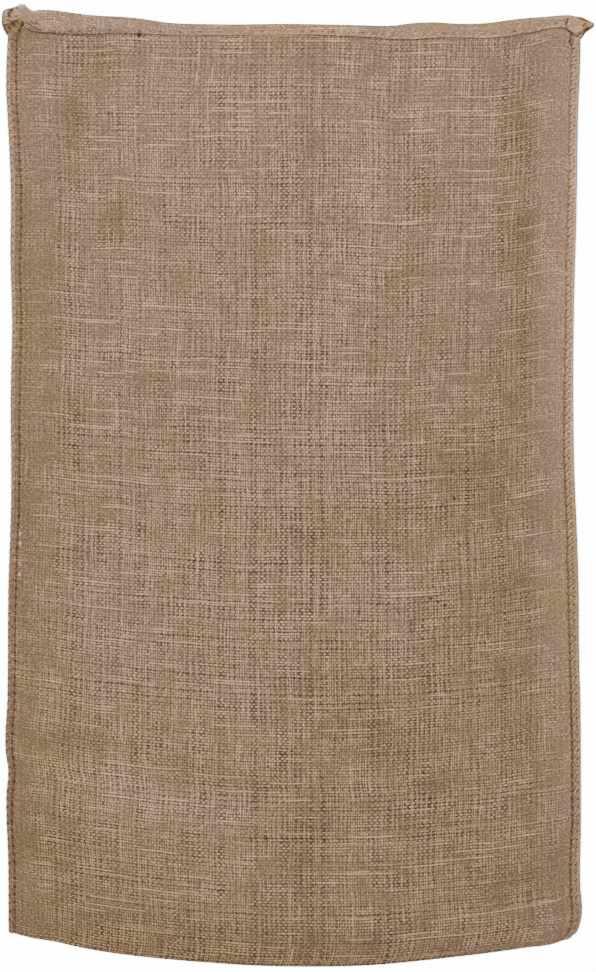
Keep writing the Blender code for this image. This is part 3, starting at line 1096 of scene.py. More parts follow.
def yarn_count(b, given, place, other, pitch, drift, habits):
    """How many yarns lie before a place, which goes faster where they are crowded."""
    lane = b.place(
        b.calc("MULTIPLY", place, habits["crowd across"]),
        b.calc("MULTIPLY", other, habits["crowd along"]),
        habits["seed"],
    )
    crowded = b.calc("SUBTRACT", b.noise(lane, 1.0, 2.0, 0.6).outputs["Fac"], 0.5)
    crowding = b.calc("MULTIPLY", given["Crowding"], habits["crowding"])
    counted = b.calc("ADD", b.calc("DIVIDE", place, pitch), drift)
    return b.calc("MULTIPLY_ADD", crowded, crowding, counted)


def paired_off(b, place, other, number, habits):
    """How far the yarns draw together two by two, which they do in some patches only."""
    patchy = b.noise(b.place(place, other, habits["seed"]), 26.0, 2.0, 0.6).outputs["Fac"]
    paired = b.span(patchy, 0.38, 0.62, 0.1, 1.7)
    odd = b.calc("MODULO", b.calc("ABSOLUTE", number), 2.0)
    paired = b.calc("MULTIPLY", b.calc("SUBTRACT", odd, 0.5), paired)
    return b.calc("MULTIPLY", paired, habits["pairing"])


def yarn_set(b, given, place, other, pitch, drift, habits):
    """One direction of yarns: its count, place in its cell, section, shade and slubs."""
    seed = habits["seed"]
    counted = yarn_count(b, given, place, other, pitch, drift, habits)
    number = b.calc("FLOOR", counted)
    within = b.calc("SUBTRACT", b.calc("FRACT", counted), 0.5)
    chance = b.calc("SUBTRACT", b.chance(b.calc("ADD", number, seed)), 0.5)
    own = b.calc("MULTIPLY", number, 13.7)
    along = b.place(own, b.calc("MULTIPLY", other, habits["uneven"]), seed)
    uneven = b.node("SeparateColor", {"Color": b.noise(along, 1.0, 3.0, 0.6).outputs["Color"]})
    thick, shade, astray = (b.calc("SUBTRACT", uneven.outputs[k], 0.5) for k in range(3))
    centre = b.calc("MULTIPLY_ADD", astray, 0.35, b.calc("MULTIPLY", chance, habits["astray"]))
    centre = b.calc("ADD", centre, paired_off(b, place, other, number, habits))
    half = b.calc("MULTIPLY_ADD", thick, given["Slubs"], habits["fullness"])
    half = b.calc("ADD", b.calc("MULTIPLY_ADD", chance, 0.05, half), given["Fullness"])
    half = b.calc("MAXIMUM", half, 0.14)
    offset = b.calc("DIVIDE", b.calc("SUBTRACT", within, centre), half)
    square = b.calc("MULTIPLY", offset, offset)
    section = b.calc("MAXIMUM", b.calc("SUBTRACT", 1.0, square), 0.0)
    long_way = b.place(own, b.calc("MULTIPLY", other, habits["slub"]), seed + 3.0)
    start = habits["slub from"]
    slub = b.span(b.noise(long_way, 1.0, 1.0).outputs["Fac"], start, start + 0.06)
    core = b.calc("MAXIMUM", b.calc("MULTIPLY_ADD", square, -2.2, 1.0), 0.0)
    shade = b.calc("MULTIPLY", b.calc("MULTIPLY_ADD", chance, 0.3, shade), habits["shading"])
    return {
        "number": number,
        "within": within,
        "section": section,
        "shade": shade,
        "slub": b.calc("MULTIPLY", slub, core),
    }


def chosen(b, share, first, second):
    """The first where the share is one and the second where it is nought."""
    return b.calc("MULTIPLY_ADD", b.calc("SUBTRACT", first, second), share, second)


def yarn_drifts(b, given):
    """How far the yarns of each direction wander from a straight line, counted in yarns."""
    flows = [b.noise(given["Cloth"], size, 1.0).outputs["Color"] for size in (6.0, 28.0)]
    flows = [b.node("SeparateColor", {"Color": flow}) for flow in flows]
    drifts = []
    for way in range(2):
        bend = b.calc("MULTIPLY_ADD", flows[0].outputs[way], 3.0, flows[1].outputs[way])
        drifts.append(b.calc("MULTIPLY", bend, given["Wander"]))
    return drifts


def yarn_tops(b, given, warp, weft):
    """How high the warp and the weft stand, as they pass over each other in turn."""
    both = b.calc("ADD", warp["number"], weft["number"])
    odd = b.calc("MODULO", b.calc("ABSOLUTE", both), 2.0)
    sign = b.calc("MULTIPLY", b.calc("MULTIPLY_ADD", odd, -2.0, 1.0), given["Knuckle"])
    over_warp = b.calc("MULTIPLY", b.calc("COSINE", b.calc("MULTIPLY", weft["within"], pi)), sign)
    over_weft = b.calc("MULTIPLY", b.calc("COSINE", b.calc("MULTIPLY", warp["within"], pi)), sign)
    lead = b.calc("SUBTRACT", b.noise(given["Cloth"], 42.0, 2.0, 0.6).outputs["Fac"], 0.5)
    lead = b.calc("MULTIPLY_ADD", lead, given["Lead"], -0.92)
    warp_top = b.calc("ADD", over_warp, b.calc("ADD", warp["section"], lead))
    weft_top = b.calc("SUBTRACT", b.calc("SUBTRACT", weft["section"], over_weft), lead)
    return warp_top, b.calc("SUBTRACT", weft_top, 2.0)


def fibres(b, u, v, above):
    """Fine streaks along whichever yarn is on top."""
    streaks = [
        b.noise(b.place(b.calc("MULTIPLY", u, along_u), b.calc("MULTIPLY", v, along_v)), 1.0, 1.0)
        for along_u, along_v in ((STREAK_FINE, STREAK_LONG), (STREAK_LONG, STREAK_FINE))
    ]
    fibre = chosen(b, above, streaks[0].outputs["Fac"], streaks[1].outputs["Fac"])
    return b.calc("SUBTRACT", fibre, 0.5)


def weave_group():
    group, b, given, wanted = new_group("hessian_weave", WEAVE_INPUTS, WEAVE_OUTPUTS)
    split = b.node("SeparateXYZ", {"Vector": given["Cloth"]})
    u, v = split.outputs["X"], split.outputs["Y"]
    drifts = yarn_drifts(b, given)
    warp = yarn_set(b, given, u, v, given["Warp Pitch"], drifts[0], WARP_HABITS)
    weft = yarn_set(b, given, v, u, given["Weft Pitch"], drifts[1], WEFT_HABITS)
    warp_top, weft_top = yarn_tops(b, given, warp, weft)
    above = b.calc("GREATER_THAN", warp_top, weft_top)
    b.wire(wanted["Height"], b.calc("MAXIMUM", b.calc("MAXIMUM", warp_top, weft_top), -1.2))
    b.wire(wanted["Shade"], chosen(b, above, warp["shade"], weft["shade"]))
    b.wire(wanted["Slub"], b.calc("MAXIMUM", b.calc("MULTIPLY", warp["slub"], 0.7), weft["slub"]))
    b.wire(wanted["Warp Over"], b.calc("SUBTRACT", above, 0.5))
    filled = b.calc("MAXIMUM", warp["section"], weft["section"])
    b.wire(wanted["Gap"], b.span(filled, 0.05, 0.4, 1.0, 0.0))
    crossing = b.place(warp["number"], weft["number"], 0.5)
    crossing = b.node("TexWhiteNoise", {"Vector": crossing}, noise_dimensions="3D")
    b.wire(wanted["Crossing"], b.calc("SUBTRACT", crossing.outputs["Value"], 0.5))
    b.wire(wanted["Fibre"], fibres(b, u, v, above))
    return group


weave = weave_group()
print("weave group:", len(weave.nodes), "nodes")

# %% [markdown]
# ## Marks on the cloth
#
# A stitch draws the cloth down where it bites. Along both seams that makes a groove with painted
# shade in it, darker at the hole of each stitch, and small patches of painted shade in the notches
# on the puffed band beside it. On the left, where the twine lies flatter, the groove is lumpy and
# the band blotched. The hem has a row of needle holes, a thin painted shadow under its edge and
# a painted highlight along the edge itself. All of it is worked out from the place of a point
# among the stitches, which every crossing of the grid carries.

# %% Marks that the stitches leave
def bell(b, value, middle, reach):
    """One at the middle and nought a reach away, smooth both ways."""
    away = b.calc("ABSOLUTE", b.calc("SUBTRACT", value, middle))
    return b.span(away, 0.0, reach, 1.0, 0.0, "SMOOTHSTEP")


def groove_mark(b, place, count, left, lump):
    """Painted shade in the groove beside the band, wider and darker at each stitch, and lumpy on the
    left.
    """
    near = b.calc("ABSOLUTE", b.calc("SUBTRACT", b.calc("FRACT", b.calc("ADD", count, 0.5)), 0.5))
    hole = b.span(near, 0.0, 0.3, 1.0, 0.0, "SMOOTHSTEP")
    groove = bell(b, place, 0.1, b.calc("MULTIPLY_ADD", hole, 1.1, 2.2))
    groove = b.calc("MULTIPLY", groove, b.calc("MULTIPLY_ADD", hole, 0.42, 0.58))
    lumpy = b.calc("MULTIPLY", left, b.calc("MULTIPLY_ADD", lump, 0.6, -0.45))
    return b.calc("MULTIPLY", groove, b.calc("ADD", lumpy, 0.95))


def right_notch(b, place, count):
    """The shaded gap between two leaning stitches of the right seam."""
    leaning = b.calc("MULTIPLY_ADD", place, 0.085, count)
    between = bell(b, b.calc("FRACT", b.calc("ADD", leaning, 0.2)), 0.5, 0.3)
    return b.calc("MULTIPLY", bell(b, place, -5.2, 2.6), between)


def left_notch(b, place, count, lump):
    """Painted shade in the gap between two level stitches of the left seam, and the blotches of its
    band.
    """
    level = bell(b, b.calc("FRACT", b.calc("ADD", count, 0.35)), 0.5, 0.3)
    across = b.calc("MULTIPLY", bell(b, place, -4.6, 5.0), 0.5)
    across = b.calc("MAXIMUM", bell(b, place, -10.0, 3.4), across)
    blotch = b.calc("MULTIPLY", b.calc("MULTIPLY", bell(b, place, -3.6, 5.4), lump), 0.3)
    return b.calc("MAXIMUM", b.calc("MULTIPLY", across, level), blotch)


def seam_marks_group():
    inputs = (("Seam", "Vector"),)
    outputs = (("Dark", "Float"), ("Pale", "Float"), ("Warm", "Float"), ("Felt", "Float"))
    group, b, given, wanted = new_group("seam_marks", inputs, outputs)
    place, count, side = b.node("SeparateXYZ", {"Vector": given["Seam"]}).outputs
    right = b.calc("MAXIMUM", side, 0.0)
    left = b.calc("MAXIMUM", b.calc("MULTIPLY", side, -1.0), 0.0)
    lump = b.place(b.calc("MULTIPLY", place, 0.3), b.calc("MULTIPLY", count, 1.6))
    lump = b.span(b.noise(lump, 1.0, 2.0, 0.6).outputs["Fac"], 0.38, 0.66)
    notch = b.calc("MULTIPLY", right_notch(b, place, count), right)
    edge_notch = b.calc("MULTIPLY", left_notch(b, place, count, lump), left)
    groove = groove_mark(b, place, count, left, lump)
    groove = b.calc("MULTIPLY", groove, b.calc("ADD", right, left))
    dark = b.calc("MAXIMUM", b.calc("MAXIMUM", notch, edge_notch), groove)
    b.wire(wanted["Dark"], dark)
    outer = b.calc("MULTIPLY", b.span(place, -6.4, -4.8, 1.3, 0.2), left)
    in_band = b.calc("MULTIPLY", b.span(place, -2.0, -0.8, 2.0, 0.0), right)
    b.wire(wanted["Pale"], b.calc("MAXIMUM", outer, in_band))
    b.wire(wanted["Warm"], b.calc("MULTIPLY", bell(b, place, -3.2, 3.0), left))
    b.wire(wanted["Felt"], b.span(place, 4.0, 58.0, 1.0, 0.0, "SMOOTHSTEP"))
    return group


def hem_marks_group():
    inputs = (("Hem", "Vector"),)
    outputs = (("Dark", "Float"), ("Pale", "Float"), ("Flap", "Float"))
    group, b, given, wanted = new_group("hem_marks", inputs, outputs)
    rise, count, flap = b.node("SeparateXYZ", {"Vector": given["Hem"]}).outputs
    below = b.calc("SUBTRACT", 1.0, flap)
    dots = b.noise(b.place(b.calc("MULTIPLY", count, 2.4), 0.0), 1.0, 2.0, 0.7).outputs["Fac"]
    dots = b.span(dots, 0.42, 0.62, 0.0, 0.16)
    shadow = b.calc("MULTIPLY", b.calc("MULTIPLY", b.span(rise, -3.4, -0.6), below), dots)
    near = b.calc("ABSOLUTE", b.calc("SUBTRACT", b.calc("FRACT", count), 0.5))
    caught = b.chance(b.calc("FLOOR", count))
    hole = b.calc("MULTIPLY", b.span(near, 0.04, 0.2, 1.0, 0.0), b.span(caught, 0.35, 0.7, 0.2, 1.0))
    hole = b.calc("MULTIPLY", b.calc("MULTIPLY", hole, bell(b, rise, 3.2, 1.7)), flap)
    b.wire(wanted["Dark"], b.calc("MAXIMUM", shadow, b.calc("MULTIPLY", hole, 0.6)))
    # painted highlight along the flap's raw edge
    b.wire(wanted["Pale"], b.calc("MULTIPLY", bell(b, rise, 0.4, 1.5), flap))
    b.wire(wanted["Flap"], flap)
    return group


seam_marks = seam_marks_group()
hem_marks = hem_marks_group()

# %% [markdown]
# Some marks have no rule: the painted shade in the tucks and creases of the bunched corners and
# under the hem's edge beside them, a few spots where dirt or a broken yarn shows dark, one long
# pale slub, four bright nubs beside the left seam with a painted highlight on them. Each is a
# stroke between two points with a width, written down in a table. How strong the mark is at any
# point follows from its distance to the nearest stroke. The strokes have a ragged edge, and only
# the front layer has them.

# %% Painted shade in creases, dark spots, slubs and highlighted nubs, drawn one by one
DARK_LINES = (  # from x, y, to x, y, half width, strength
    # painted shade in the tucks and creases of both bunched corners, and under the flap's edge beside
    # them
    (-291.2, 488.2, -290.4, 487.0, 1.7, 0.8),
    (-291.6, 486.4, -294.2, 480.4, 1.5, 0.5),
    (-294.2, 480.4, -295.8, 472.8, 1.5, 0.4),
    (-302.8, 502.0, -302.0, 501.4, 2.0, 0.7),
    (-297.0, 504.4, -296.4, 503.8, 1.3, 0.45),
    (-304.9, 499.0, -304.6, 494.0, 1.3, 0.45),
    (-303.0, 490.4, -300.0, 485.4, 1.9, 0.6),
    (-304.9, 483.6, -304.0, 482.0, 1.9, 0.5),
    (-301.0, 489.6, -291.6, 488.8, 1.1, 0.5),
    (-286.4, 488.4, -282.0, 485.4, 0.9, 0.55),
    (-281.6, 489.6, -277.6, 487.0, 0.9, 0.5),
    (-276.8, 488.6, -273.2, 486.4, 0.9, 0.4),
    (-282.4, 485.2, -277.0, 482.2, 0.9, 0.5),
    (-279.0, 482.4, -272.0, 479.6, 0.9, 0.5),
    (282.8, 483.4, 288.3, 477.8, 1.3, 0.55),
    (288.3, 477.8, 295.2, 474.1, 1.3, 0.55),
    (295.2, 474.1, 298.6, 478.0, 1.3, 0.6),
    (288.4, 477.0, 287.4, 469.0, 1.1, 0.7),
    (287.4, 469.0, 290.2, 460.8, 1.1, 0.7),
    (284.8, 492.4, 283.4, 486.2, 1.3, 0.6),
    (300.8, 485.2, 301.6, 484.8, 1.2, 0.8),
    (303.0, 487.4, 303.6, 486.8, 1.2, 0.7),
    (301.6, 479.8, 306.0, 482.2, 1.4, 0.6),
    # spots where dirt or a broken yarn shows dark
    (-168.4, 475.4, -167.2, 475.2, 2.4, 0.9),
    (139.4, -119.0, 140.6, -119.4, 1.6, 0.7),
    (147.0, -122.6, 148.2, -123.2, 1.5, 0.6),
    (154.4, -126.2, 155.6, -126.6, 1.7, 0.7),
    (119.3, -142.4, 119.6, -155.0, 1.1, 0.5),
    (164.4, -13.4, 165.2, -14.2, 1.6, 0.7),
)
PALE_LINES = (  # the slub, which bends once, and the nubs
    (139.4, -461.0, 206.0, -450.6, 0.9, 0.6),
    (206.0, -450.6, 276.6, -438.0, 0.9, 0.6),
    # the nubs, which also get a painted highlight
    (-294.2, -49.8, -294.0, -51.0, 1.5, 1.0),
    (-294.3, -60.9, -293.9, -62.1, 1.6, 1.0),
    (-294.6, -82.6, -294.4, -83.6, 1.2, 0.9),
    (-294.8, -93.6, -294.4, -94.8, 1.6, 1.0),
)


def strongest(b, place, lines):
    """Goes through the lines and keeps the strongest mark at the place, which is in metres."""
    found = 0.0
    for from_x, from_y, to_x, to_y, width, strength in lines:
        start = Vector((from_x, from_y, 0.0)) * MM
        run = Vector((to_x, to_y, 0.0)) * MM - start
        off = b.node("VectorMath", {0: place, 1: start}, operation="SUBTRACT").outputs[0]
        aim = run / run.length_squared
        along = b.node("VectorMath", {0: off, 1: aim}, operation="DOT_PRODUCT").outputs["Value"]
        along = b.span(along, 0.0, 1.0)
        foot = b.node("VectorMath", {0: run, "Scale": along}, operation="SCALE").outputs[0]
        away = b.node("VectorMath", {0: off, 1: foot}, operation="DISTANCE").outputs["Value"]
        mark = b.span(away, 0.3 * width * MM, 1.3 * width * MM, strength, 0.0, "SMOOTHSTEP")
        found = b.calc("MAXIMUM", mark, found)
    return found


def drawn_marks_group():
    inputs = (("Place", "Vector"),)
    group, b, given, wanted = new_group("drawn_marks", inputs, (("Dark", "Float"), ("Pale", "Float")))
    x, y, z = b.node("SeparateXYZ", {"Vector": given["Place"]}).outputs
    ragged = b.noise(given["Place"], 700.0, 2.0, 0.6).outputs["Color"]
    ragged = b.node("VectorMath", {0: ragged, 1: (0.5, 0.5, 0.5)}, operation="SUBTRACT").outputs[0]
    ragged = b.node("VectorMath", {0: ragged, "Scale": 0.0022}, operation="SCALE").outputs[0]
    level = b.node("VectorMath", {0: b.place(x, y), 1: ragged}, operation="ADD").outputs[0]
    level = b.node("VectorMath", {0: level, 1: (1.0, 1.0, 0.0)}, operation="MULTIPLY").outputs[0]
    front = b.span(z, 0.0022, 0.0032)
    for name, lines in (("Dark", DARK_LINES), ("Pale", PALE_LINES)):
        b.wire(wanted[name], b.calc("MULTIPLY", strongest(b, level, lines), front))
    return group


drawn_marks = drawn_marks_group()
print("drawn marks:", len(drawn_marks.nodes), "nodes")

# %% [markdown]
# ## The cloth's colour
#
# The cloth's material puts the weave to work. Deep places and gaps get a dark, warm painted
# shade and the tops of the yarns a pale painted light, and every yarn has its own shade along its
# length. Here and there a thick slub catches the eye as a pale thread. The weave is crisp in some
# places and felted over in others, so its contrast is led by a soft noise and by the table of
# felted places. Jute has a dull straw lustre, so the roughness stays high.

# %% The hessian material
# from the darkest tone to the palest: DEEP is the painted shade of the weave's hollows and gaps, PALE
# the painted light on the tops of its yarns
DEEP = (0.076, 0.041, 0.0205, 1.0)
MID = (0.312, 0.197, 0.122, 1.0)
PALE = (0.97, 0.60, 0.36, 1.0)
GLINT = (1.0, 0.88, 0.72, 1.0)  # painted highlight on the brightest nubs
RUBBED = (1.0, 0.93, 0.88, 1.0)  # the tint of the puffed band on the left
HEIGHT_OFFSET = 0.34  # brings the heights of the weave to either side of nought
# the gaps are darkened as painted shade
LIGHTENING = {"Crossing": 0.42, "Gap": -0.25, "Shade": 0.7, "Warp Over": -0.1, "Fibre": 0.8}
FELTED_TONE = 0.485  # what is left where fibres hide the weave


def woven_tone(b, uv, woven, cover, felt):
    """How light the bare weave is, with painted shade in its hollows and gaps and painted light on
    its yarn tops, and its contrast lost where the cloth is felted over.
    """
    # the weave's height as tone: painted shade low down, painted light on the tops
    tone = b.calc("ADD", woven["Height"], HEIGHT_OFFSET)
    for output, weight in LIGHTENING.items():
        tone = b.calc("MULTIPLY_ADD", woven[output], weight, tone)
    tone = b.calc("MULTIPLY_ADD", tone, b.span(cover, 0.32, 0.74, 0.73, 0.08), FELTED_TONE)
    fuzz = b.calc("SUBTRACT", b.noise(uv, 400.0, 3.0, 0.6).outputs["Fac"], 0.5)
    tone = b.calc("MULTIPLY_ADD", fuzz, b.span(cover, 0.4, 0.7, 0.4, 0.9), tone)
    slub = b.calc("MULTIPLY", woven["Slub"], b.calc("MULTIPLY_ADD", felt, -0.28, 0.38))
    return b.calc("ADD", slub, tone)


def marked_tone(b, uv, tone, marks, hem, drawn):
    """The same tone after the seams, the hem and the drawn strokes have marked it with their painted
    shade, highlights and marks.
    """
    mottle = b.calc("SUBTRACT", b.noise(uv, 130.0, 2.0, 0.6).outputs["Fac"], 0.5)
    tone = b.calc("MULTIPLY_ADD", mottle, b.calc("MULTIPLY", hem["Flap"], 0.28), tone)
    pale = b.calc("MULTIPLY_ADD", hem["Pale"], 0.7, marks["Pale"])
    tone = b.calc("MULTIPLY_ADD", pale, 0.14, tone)
    tone = b.calc("MULTIPLY_ADD", drawn["Pale"], 0.5, tone)
    dark = b.calc("MAXIMUM", hem["Dark"], drawn["Dark"])
    dark = b.calc("MAXIMUM", dark, marks["Dark"])
    return b.calc("MULTIPLY_ADD", dark, -0.75, tone)


def group_outputs(b, group, inputs):
    made = b.node("Group", node_tree=group)
    for socket, value in inputs.items():
        b.wire(made.inputs[socket], value)
    return made.outputs


def hessian(name):
    material, b, shader = new_material(name)
    uv = b.node("UVMap", uv_map="cloth").outputs["UV"]
    stitches = b.node("Attribute", attribute_name="seam").outputs["Vector"]
    marks = group_outputs(b, seam_marks, {"Seam": stitches})
    hem_stitches = b.node("Attribute", attribute_name="hem").outputs["Vector"]
    hem = group_outputs(b, hem_marks, {"Hem": hem_stitches})
    drawn = group_outputs(b, drawn_marks, {"Place": b.node("TexCoord").outputs["Object"]})
    felt = b.calc("MAXIMUM", marks["Felt"], b.calc("MULTIPLY", hem["Flap"], 0.6))
    cover = b.noise(uv, 36.0, 4.0, 0.62).outputs["Fac"]
    cover = b.calc("MULTIPLY_ADD", felt, 0.2, cover)
    cover = b.calc("ADD", cover, b.node("Attribute", attribute_name="felting").outputs["Fac"])
    values = {"Cloth": uv, "Warp Pitch": 0.00265, "Weft Pitch": 0.00294, "Wander": 0.8}
    values.update({"Crowding": 2.4, "Slubs": 0.36, "Knuckle": 0.45, "Lead": 1.1})
    values["Fullness"] = b.span(cover, 0.3, 0.7, 0.40, 0.48)
    woven = group_outputs(b, weave, values)
    tone = woven_tone(b, uv, woven, cover, felt)
    tone = marked_tone(b, uv, tone, marks, hem, drawn)
    dark = b.mix(b.span(tone, 0.0, 0.5), DEEP, MID)
    colour = b.mix(b.span(tone, 0.5, 1.0), dark, PALE)
    colour = b.mix(b.calc("MULTIPLY", marks["Warm"], 0.8), colour, RUBBED, "MULTIPLY")
    # painted highlight on the brightest nubs
    colour = b.mix(b.span(drawn["Pale"], 0.65, 1.0, 0.0, 0.6), colour, GLINT)
    stain_and_shading = b.node("Attribute", attribute_name="stain_and_shading").outputs["Color"]
    b.wire(shader.inputs["Base Color"], b.mix(1.0, colour, stain_and_shading, "MULTIPLY"))
    b.wire(shader.inputs["Roughness"], b.span(woven["Fibre"], -0.3, 0.3, 0.78, 0.95))
    shader.inputs["Specular IOR Level"].default_value = 0.25
    relief = b.calc("MULTIPLY_ADD", woven["Fibre"], 0.25, woven["Height"])
    relief = b.calc("MULTIPLY_ADD", woven["Slub"], 0.4, relief)
    bump = b.node("Bump", {"Height": relief, "Strength": 0.8, "Distance": 0.0004})
    b.wire(shader.inputs["Normal"], bump.outputs["Normal"])
    return material


cloth_finish = hessian("hessian_cloth")
sack_body, cut = lay_strip(cloth_finish)
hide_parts("sack_cloth")

# %% [markdown]
# ## Twine
#
# Both side seams are whipped with one long twine that goes in and out of the puffed band all
# the way up. A twine is a tube led along a path: a grid with as many columns as the tube has
# sides, wrapped round the path and welded where it meets itself. It is wider than it is high,
# because it is pulled hard against the cloth.


# %% A tube along a path
def wrap_tube(bm, path, wide, high, upright, sides=6):
    """Adds a tube to the bmesh: half widths along upright x tangent and along the other way."""
    made = bmesh.ops.create_grid(bm, x_segments=sides, y_segments=len(path) - 1, size=0.5)
    uv = bm.loops.layers.uv.verify()
    lengths = girths(path)
    places = {}
    for vert in made["verts"]:
        side = round((vert.co.x + 0.5) * sides)
        step = round((vert.co.y + 0.5) * (len(path) - 1))
        here = Vector(path[step])
        ahead = Vector(path[min(step + 1, len(path) - 1)]) - Vector(path[max(step - 1, 0)])
        flat = (upright - ahead.normalized() * upright.dot(ahead.normalized())).normalized()
        out = ahead.normalized().cross(flat)
        angle = 2 * pi * side / sides
        end = 0.35 if step in (0, len(path) - 1) else 1.0
        spot = here + end * (flat * wide(step) * cos(angle) + out * high(step) * sin(angle))
        vert.co = spot * MM
        places[vert] = (side / sides, lengths[step] * MM)
    for face in {face for vert in made["verts"] for face in vert.link_faces}:
        for loop in face.loops:
            loop[uv].uv = places[loop.vert]
    bmesh.ops.remove_doubles(bm, verts=made["verts"], dist=1e-7)


# %% [markdown]
# The twine is two plies of jute twisted together, paler than the cloth where it is rubbed, and
# a little paler towards the mouth. The plies are bands that slope across the tube's UV map.


# %% The twine material
def twine_material(name, pale, deep, turn_length=0.006):
    material, b, shader = new_material(name)
    split = b.node("SeparateXYZ", {"Vector": b.node("UVMap", uv_map="UVMap").outputs["UV"]})
    turns = b.calc("MULTIPLY_ADD", split.outputs["X"], 2.0,
                  b.calc("DIVIDE", split.outputs["Y"], turn_length))
    ply = b.calc("ABSOLUTE", b.calc("SINE", b.calc("MULTIPLY", turns, pi)))
    place = b.node("TexCoord").outputs["Object"]
    worn = b.noise(place, 160.0, 3.0, 0.6).outputs["Fac"]
    hair = b.noise(place, 650.0, 3.0, 0.7).outputs["Fac"]
    upper = b.span(b.node("SeparateXYZ", {"Vector": place}).outputs["Y"], -0.05, 0.25, 0.0, 0.22)
    tone = b.calc("MULTIPLY_ADD", ply, 0.45, b.calc("MULTIPLY_ADD", worn, 0.5, upper))
    tone = b.calc("MULTIPLY_ADD", hair, 1.2, tone)
    b.wire(shader.inputs["Base Color"], b.mix(b.span(tone, 0.7, 1.5), deep, pale))
    shader.inputs["Roughness"].default_value = 0.85
    shader.inputs["Specular IOR Level"].default_value = 0.25
    relief = b.calc("MULTIPLY_ADD", hair, 0.3, ply)
    bump = b.node("Bump", {"Height": relief, "Strength": 0.7, "Distance": 0.0005})
    b.wire(shader.inputs["Normal"], bump.outputs["Normal"])
    return material


twine_finishes = {
    "right": twine_material("seam_twine", (1.0, 0.69, 0.43, 1.0), (0.33, 0.20, 0.115, 1.0)),
    "left": twine_material("grey_twine", (0.92, 0.63, 0.42, 1.0), (0.32, 0.205, 0.13, 1.0)),
}

# %% [markdown]
# The path of one whip stitch is a short table: its place in from the edge, its height, and its
# share of the way to the next stitch. On the right the stitch rises out of the groove, leans
# over the inner half and goes back through the band. On the left it is whipped round the outer
# half and the edge.

# %% Whip stitches down both sides
WHIP = {  # place from the edge as a share of the band, height, share of the pitch
    "right": (
        (1.00, 2.6, 0.00),
        (0.95, 3.9, 0.05),
        (0.84, 4.9, 0.16),
        (0.69, 5.3, 0.30),
        (0.54, 5.2, 0.44),
        (0.42, 4.6, 0.54),
        (0.38, 3.4, 0.60),
        (0.46, 2.6, 0.68),
        (0.66, 2.4, 0.80),
        (0.88, 2.3, 0.91),
    ),
    "left": (
        (0.46, 3.4, 0.00),
        (0.40, 4.8, 0.03),
        (0.29, 5.5, 0.12),
        (0.17, 5.4, 0.22),
        (0.06, 4.6, 0.32),
        (0.03, 3.5, 0.40),
        (0.03, 2.2, 0.50),
        (0.08, 1.4, 0.62),
        (0.20, 1.2, 0.75),
        (0.34, 1.2, 0.88),
        (0.44, 1.6, 0.97),
    ),
}
TWINE = {"right": (1.75, 1.3), "left": (2.0, 0.7)}  # half width and half height
STITCHED = 0.992  # share of the seam that is whipped
TWINE_BUNCHING = 2.4  # how much higher the twine runs where the band puffs up


def whip_path(side):
    """The twine's path down one seam, in millimetres, from the fold to the hem line."""
    count = int(STITCHED * BODY_LENGTH / STITCH_PITCH)
    path = []
    for stitch in range(count):
        uneven = noise.noise(Vector((stitch * 0.73, 4.2, 0.5 if side == "left" else 9.5)))
        for place, height, share in WHIP[side]:
            up = (FIRST_STITCH + (stitch + share + 0.12 * uneven) * STITCH_PITCH) / BODY_LENGTH
            inset = place * band_width(side, up) * (1.0 + 0.08 * uneven)
            x, y = flat_place(across_share((side, 0.0, "fixed", inset), up), up)
            bunch = TWINE_BUNCHING * smooth(up, BUNCHED_FROM, 1.0) if height > 2.0 else 0.0
            path.append((x, y, height + bunch))
    return path


def whip_seam(side):
    path = whip_path(side)
    wide, high = TWINE[side]
    bm = bmesh.new()
    swell = [1.0 + 0.22 * noise.noise(Vector((k * 0.31, 2.0, 8.0))) for k in range(len(path))]
    wrap_tube(bm, path, lambda k: wide * swell[k], lambda k: high * swell[k], Vector((0, 1, 0)))
    bmesh.ops.recalc_face_normals(bm, faces=bm.faces[:])
    return make_piece(f"{side}_seam_twine", bm, twine_finishes[side])


seam_twines = [whip_seam(side) for side in ("left", "right")]
print("whip stitches:", [len(twine.data.polygons) for twine in seam_twines], "faces")

# %% [markdown]
# At the left corner of the mouth the twine is wound over the bunched hem, and its cut end has
# frayed into a small pale tuft. Each point of a turn is dropped on to the cloth's top from
# above, so the twine lies on whatever shape the corner has. A hair of the tuft is a thin tube
# that leaves the corner in its own direction.

# %% Turns and frayed end at the left corner
TURNS = (  # x and y of the points that each turn passes
    ((-304.0, 490.2), (-300.6, 491.4), (-297.0, 492.4), (-293.6, 494.4), (-291.0, 497.2)),
    ((-300.4, 496.4), (-297.4, 496.0), (-294.4, 497.2), (-292.2, 499.6)),
)
TURN_STEPS = 16
TURN_WIDE, TURN_HIGH = 1.6, 0.8
TUFTS = (  # middle x, y, spread of the roots, hairs, middle direction in degrees, length
    (-291.4, 503.4, 2.6, 64, 70.0, 3.6),
    (-308.4, 497.6, 2.8, 22, 175.0, 3.8),
)
HAIR_STEPS = 5
HAIR_HALF_WIDTH = 0.3
HAIR_ROOT = 6.0  # height at which the hairs leave the cloth
HAIR_FAN = 150.0  # degrees to either side of the middle direction
HAIR_BEND = 1.6
HAIR_LIFT = 3.0


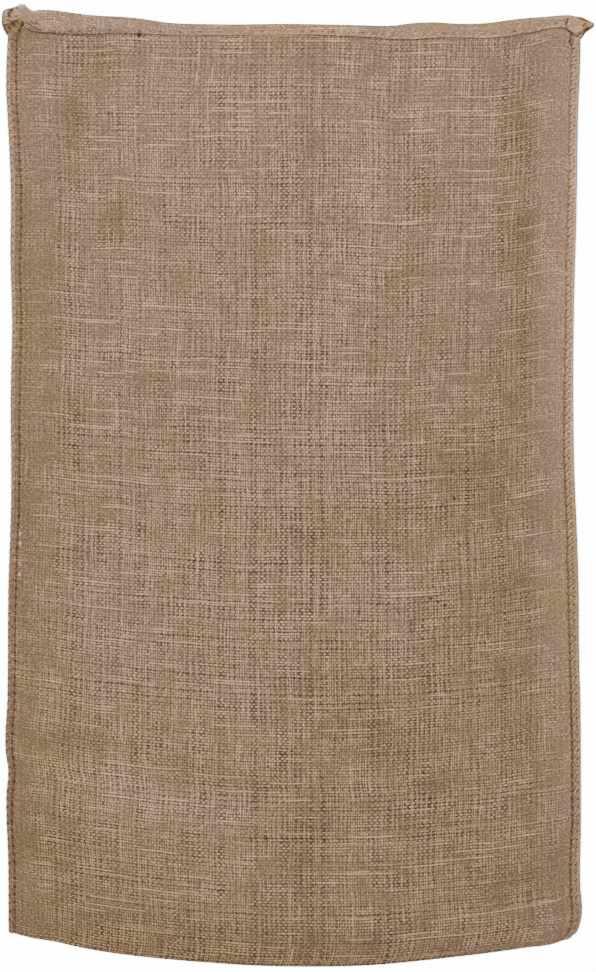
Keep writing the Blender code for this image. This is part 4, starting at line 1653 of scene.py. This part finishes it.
def tops(piece):
    """A rule for the height of the top of a piece of cloth above any x and y."""
    corners = [vert.co for vert in piece.data.vertices]
    tree = BVHTree.FromPolygons(corners, [face.vertices for face in piece.data.polygons])

    def top(x, y):
        hit = tree.ray_cast(Vector((x, y, 100.0)) * MM, Vector((0.0, 0.0, -1.0)))[0]
        return (hit.z / MM if hit else 0.0) + THICK / 2

    return top


def corner_turns():
    bm = bmesh.new()
    top = tops(sack_body)
    for points in TURNS:
        level = [curve_at(points, step / TURN_STEPS) for step in range(TURN_STEPS + 1)]
        arch = [sin(pi * step / TURN_STEPS) for step in range(TURN_STEPS + 1)]
        path = [(x, y, top(x, y) - 1.0 + 1.5 * rise) for (x, y), rise in zip(level, arch)]
        wide = [TURN_WIDE * (0.55 + 0.45 * rise) for rise in arch]
        wrap_tube(bm, path, lambda k: wide[k], lambda k: TURN_HIGH, Vector((0, 1, 0)))
    bmesh.ops.recalc_face_normals(bm, faces=bm.faces[:])
    finish = twine_material("ochre_twine", (0.92, 0.66, 0.42, 1.0), (0.34, 0.21, 0.11, 1.0))
    return make_piece("corner_turns", bm, finish)


def hair_width(step):
    """A hair is as thick at its tip as at its root."""
    return HAIR_HALF_WIDTH


def frayed_end():
    bm = bmesh.new()
    for middle_x, middle_y, spread, hairs, middle_way, length in TUFTS:
        for hair in range(hairs):
            luck = [noise.noise(Vector((hair * 1.37 + k * 9.1, middle_x, 0.5))) for k in range(6)]
            aside = 2.2 * spread * Vector((luck[0], luck[1], 0.0))
            root = Vector((middle_x, middle_y, HAIR_ROOT)) + aside
            way = radians(middle_way + HAIR_FAN * luck[2])
            reach = length * (1.0 + luck[3])
            path = []
            for step in range(HAIR_STEPS):
                share = step / (HAIR_STEPS - 1)
                bend = way + HAIR_BEND * luck[4] * share
                run = Vector((cos(bend), sin(bend), 0.0)) * reach * share
                path.append(root + run + Vector((0.0, 0.0, HAIR_LIFT * luck[5] * share)))
            wrap_tube(bm, path, hair_width, hair_width, Vector((0.3, 0.2, 1.0)), sides=4)
    bmesh.ops.recalc_face_normals(bm, faces=bm.faces[:])
    finish = twine_material("frayed_twine", (1.0, 0.94, 0.97, 1.0), (0.62, 0.53, 0.55, 1.0))
    return make_piece("frayed_end", bm, finish)


corner_pieces = [corner_turns(), frayed_end()]
print("corner pieces:", [len(piece.data.polygons) for piece in corner_pieces], "faces")
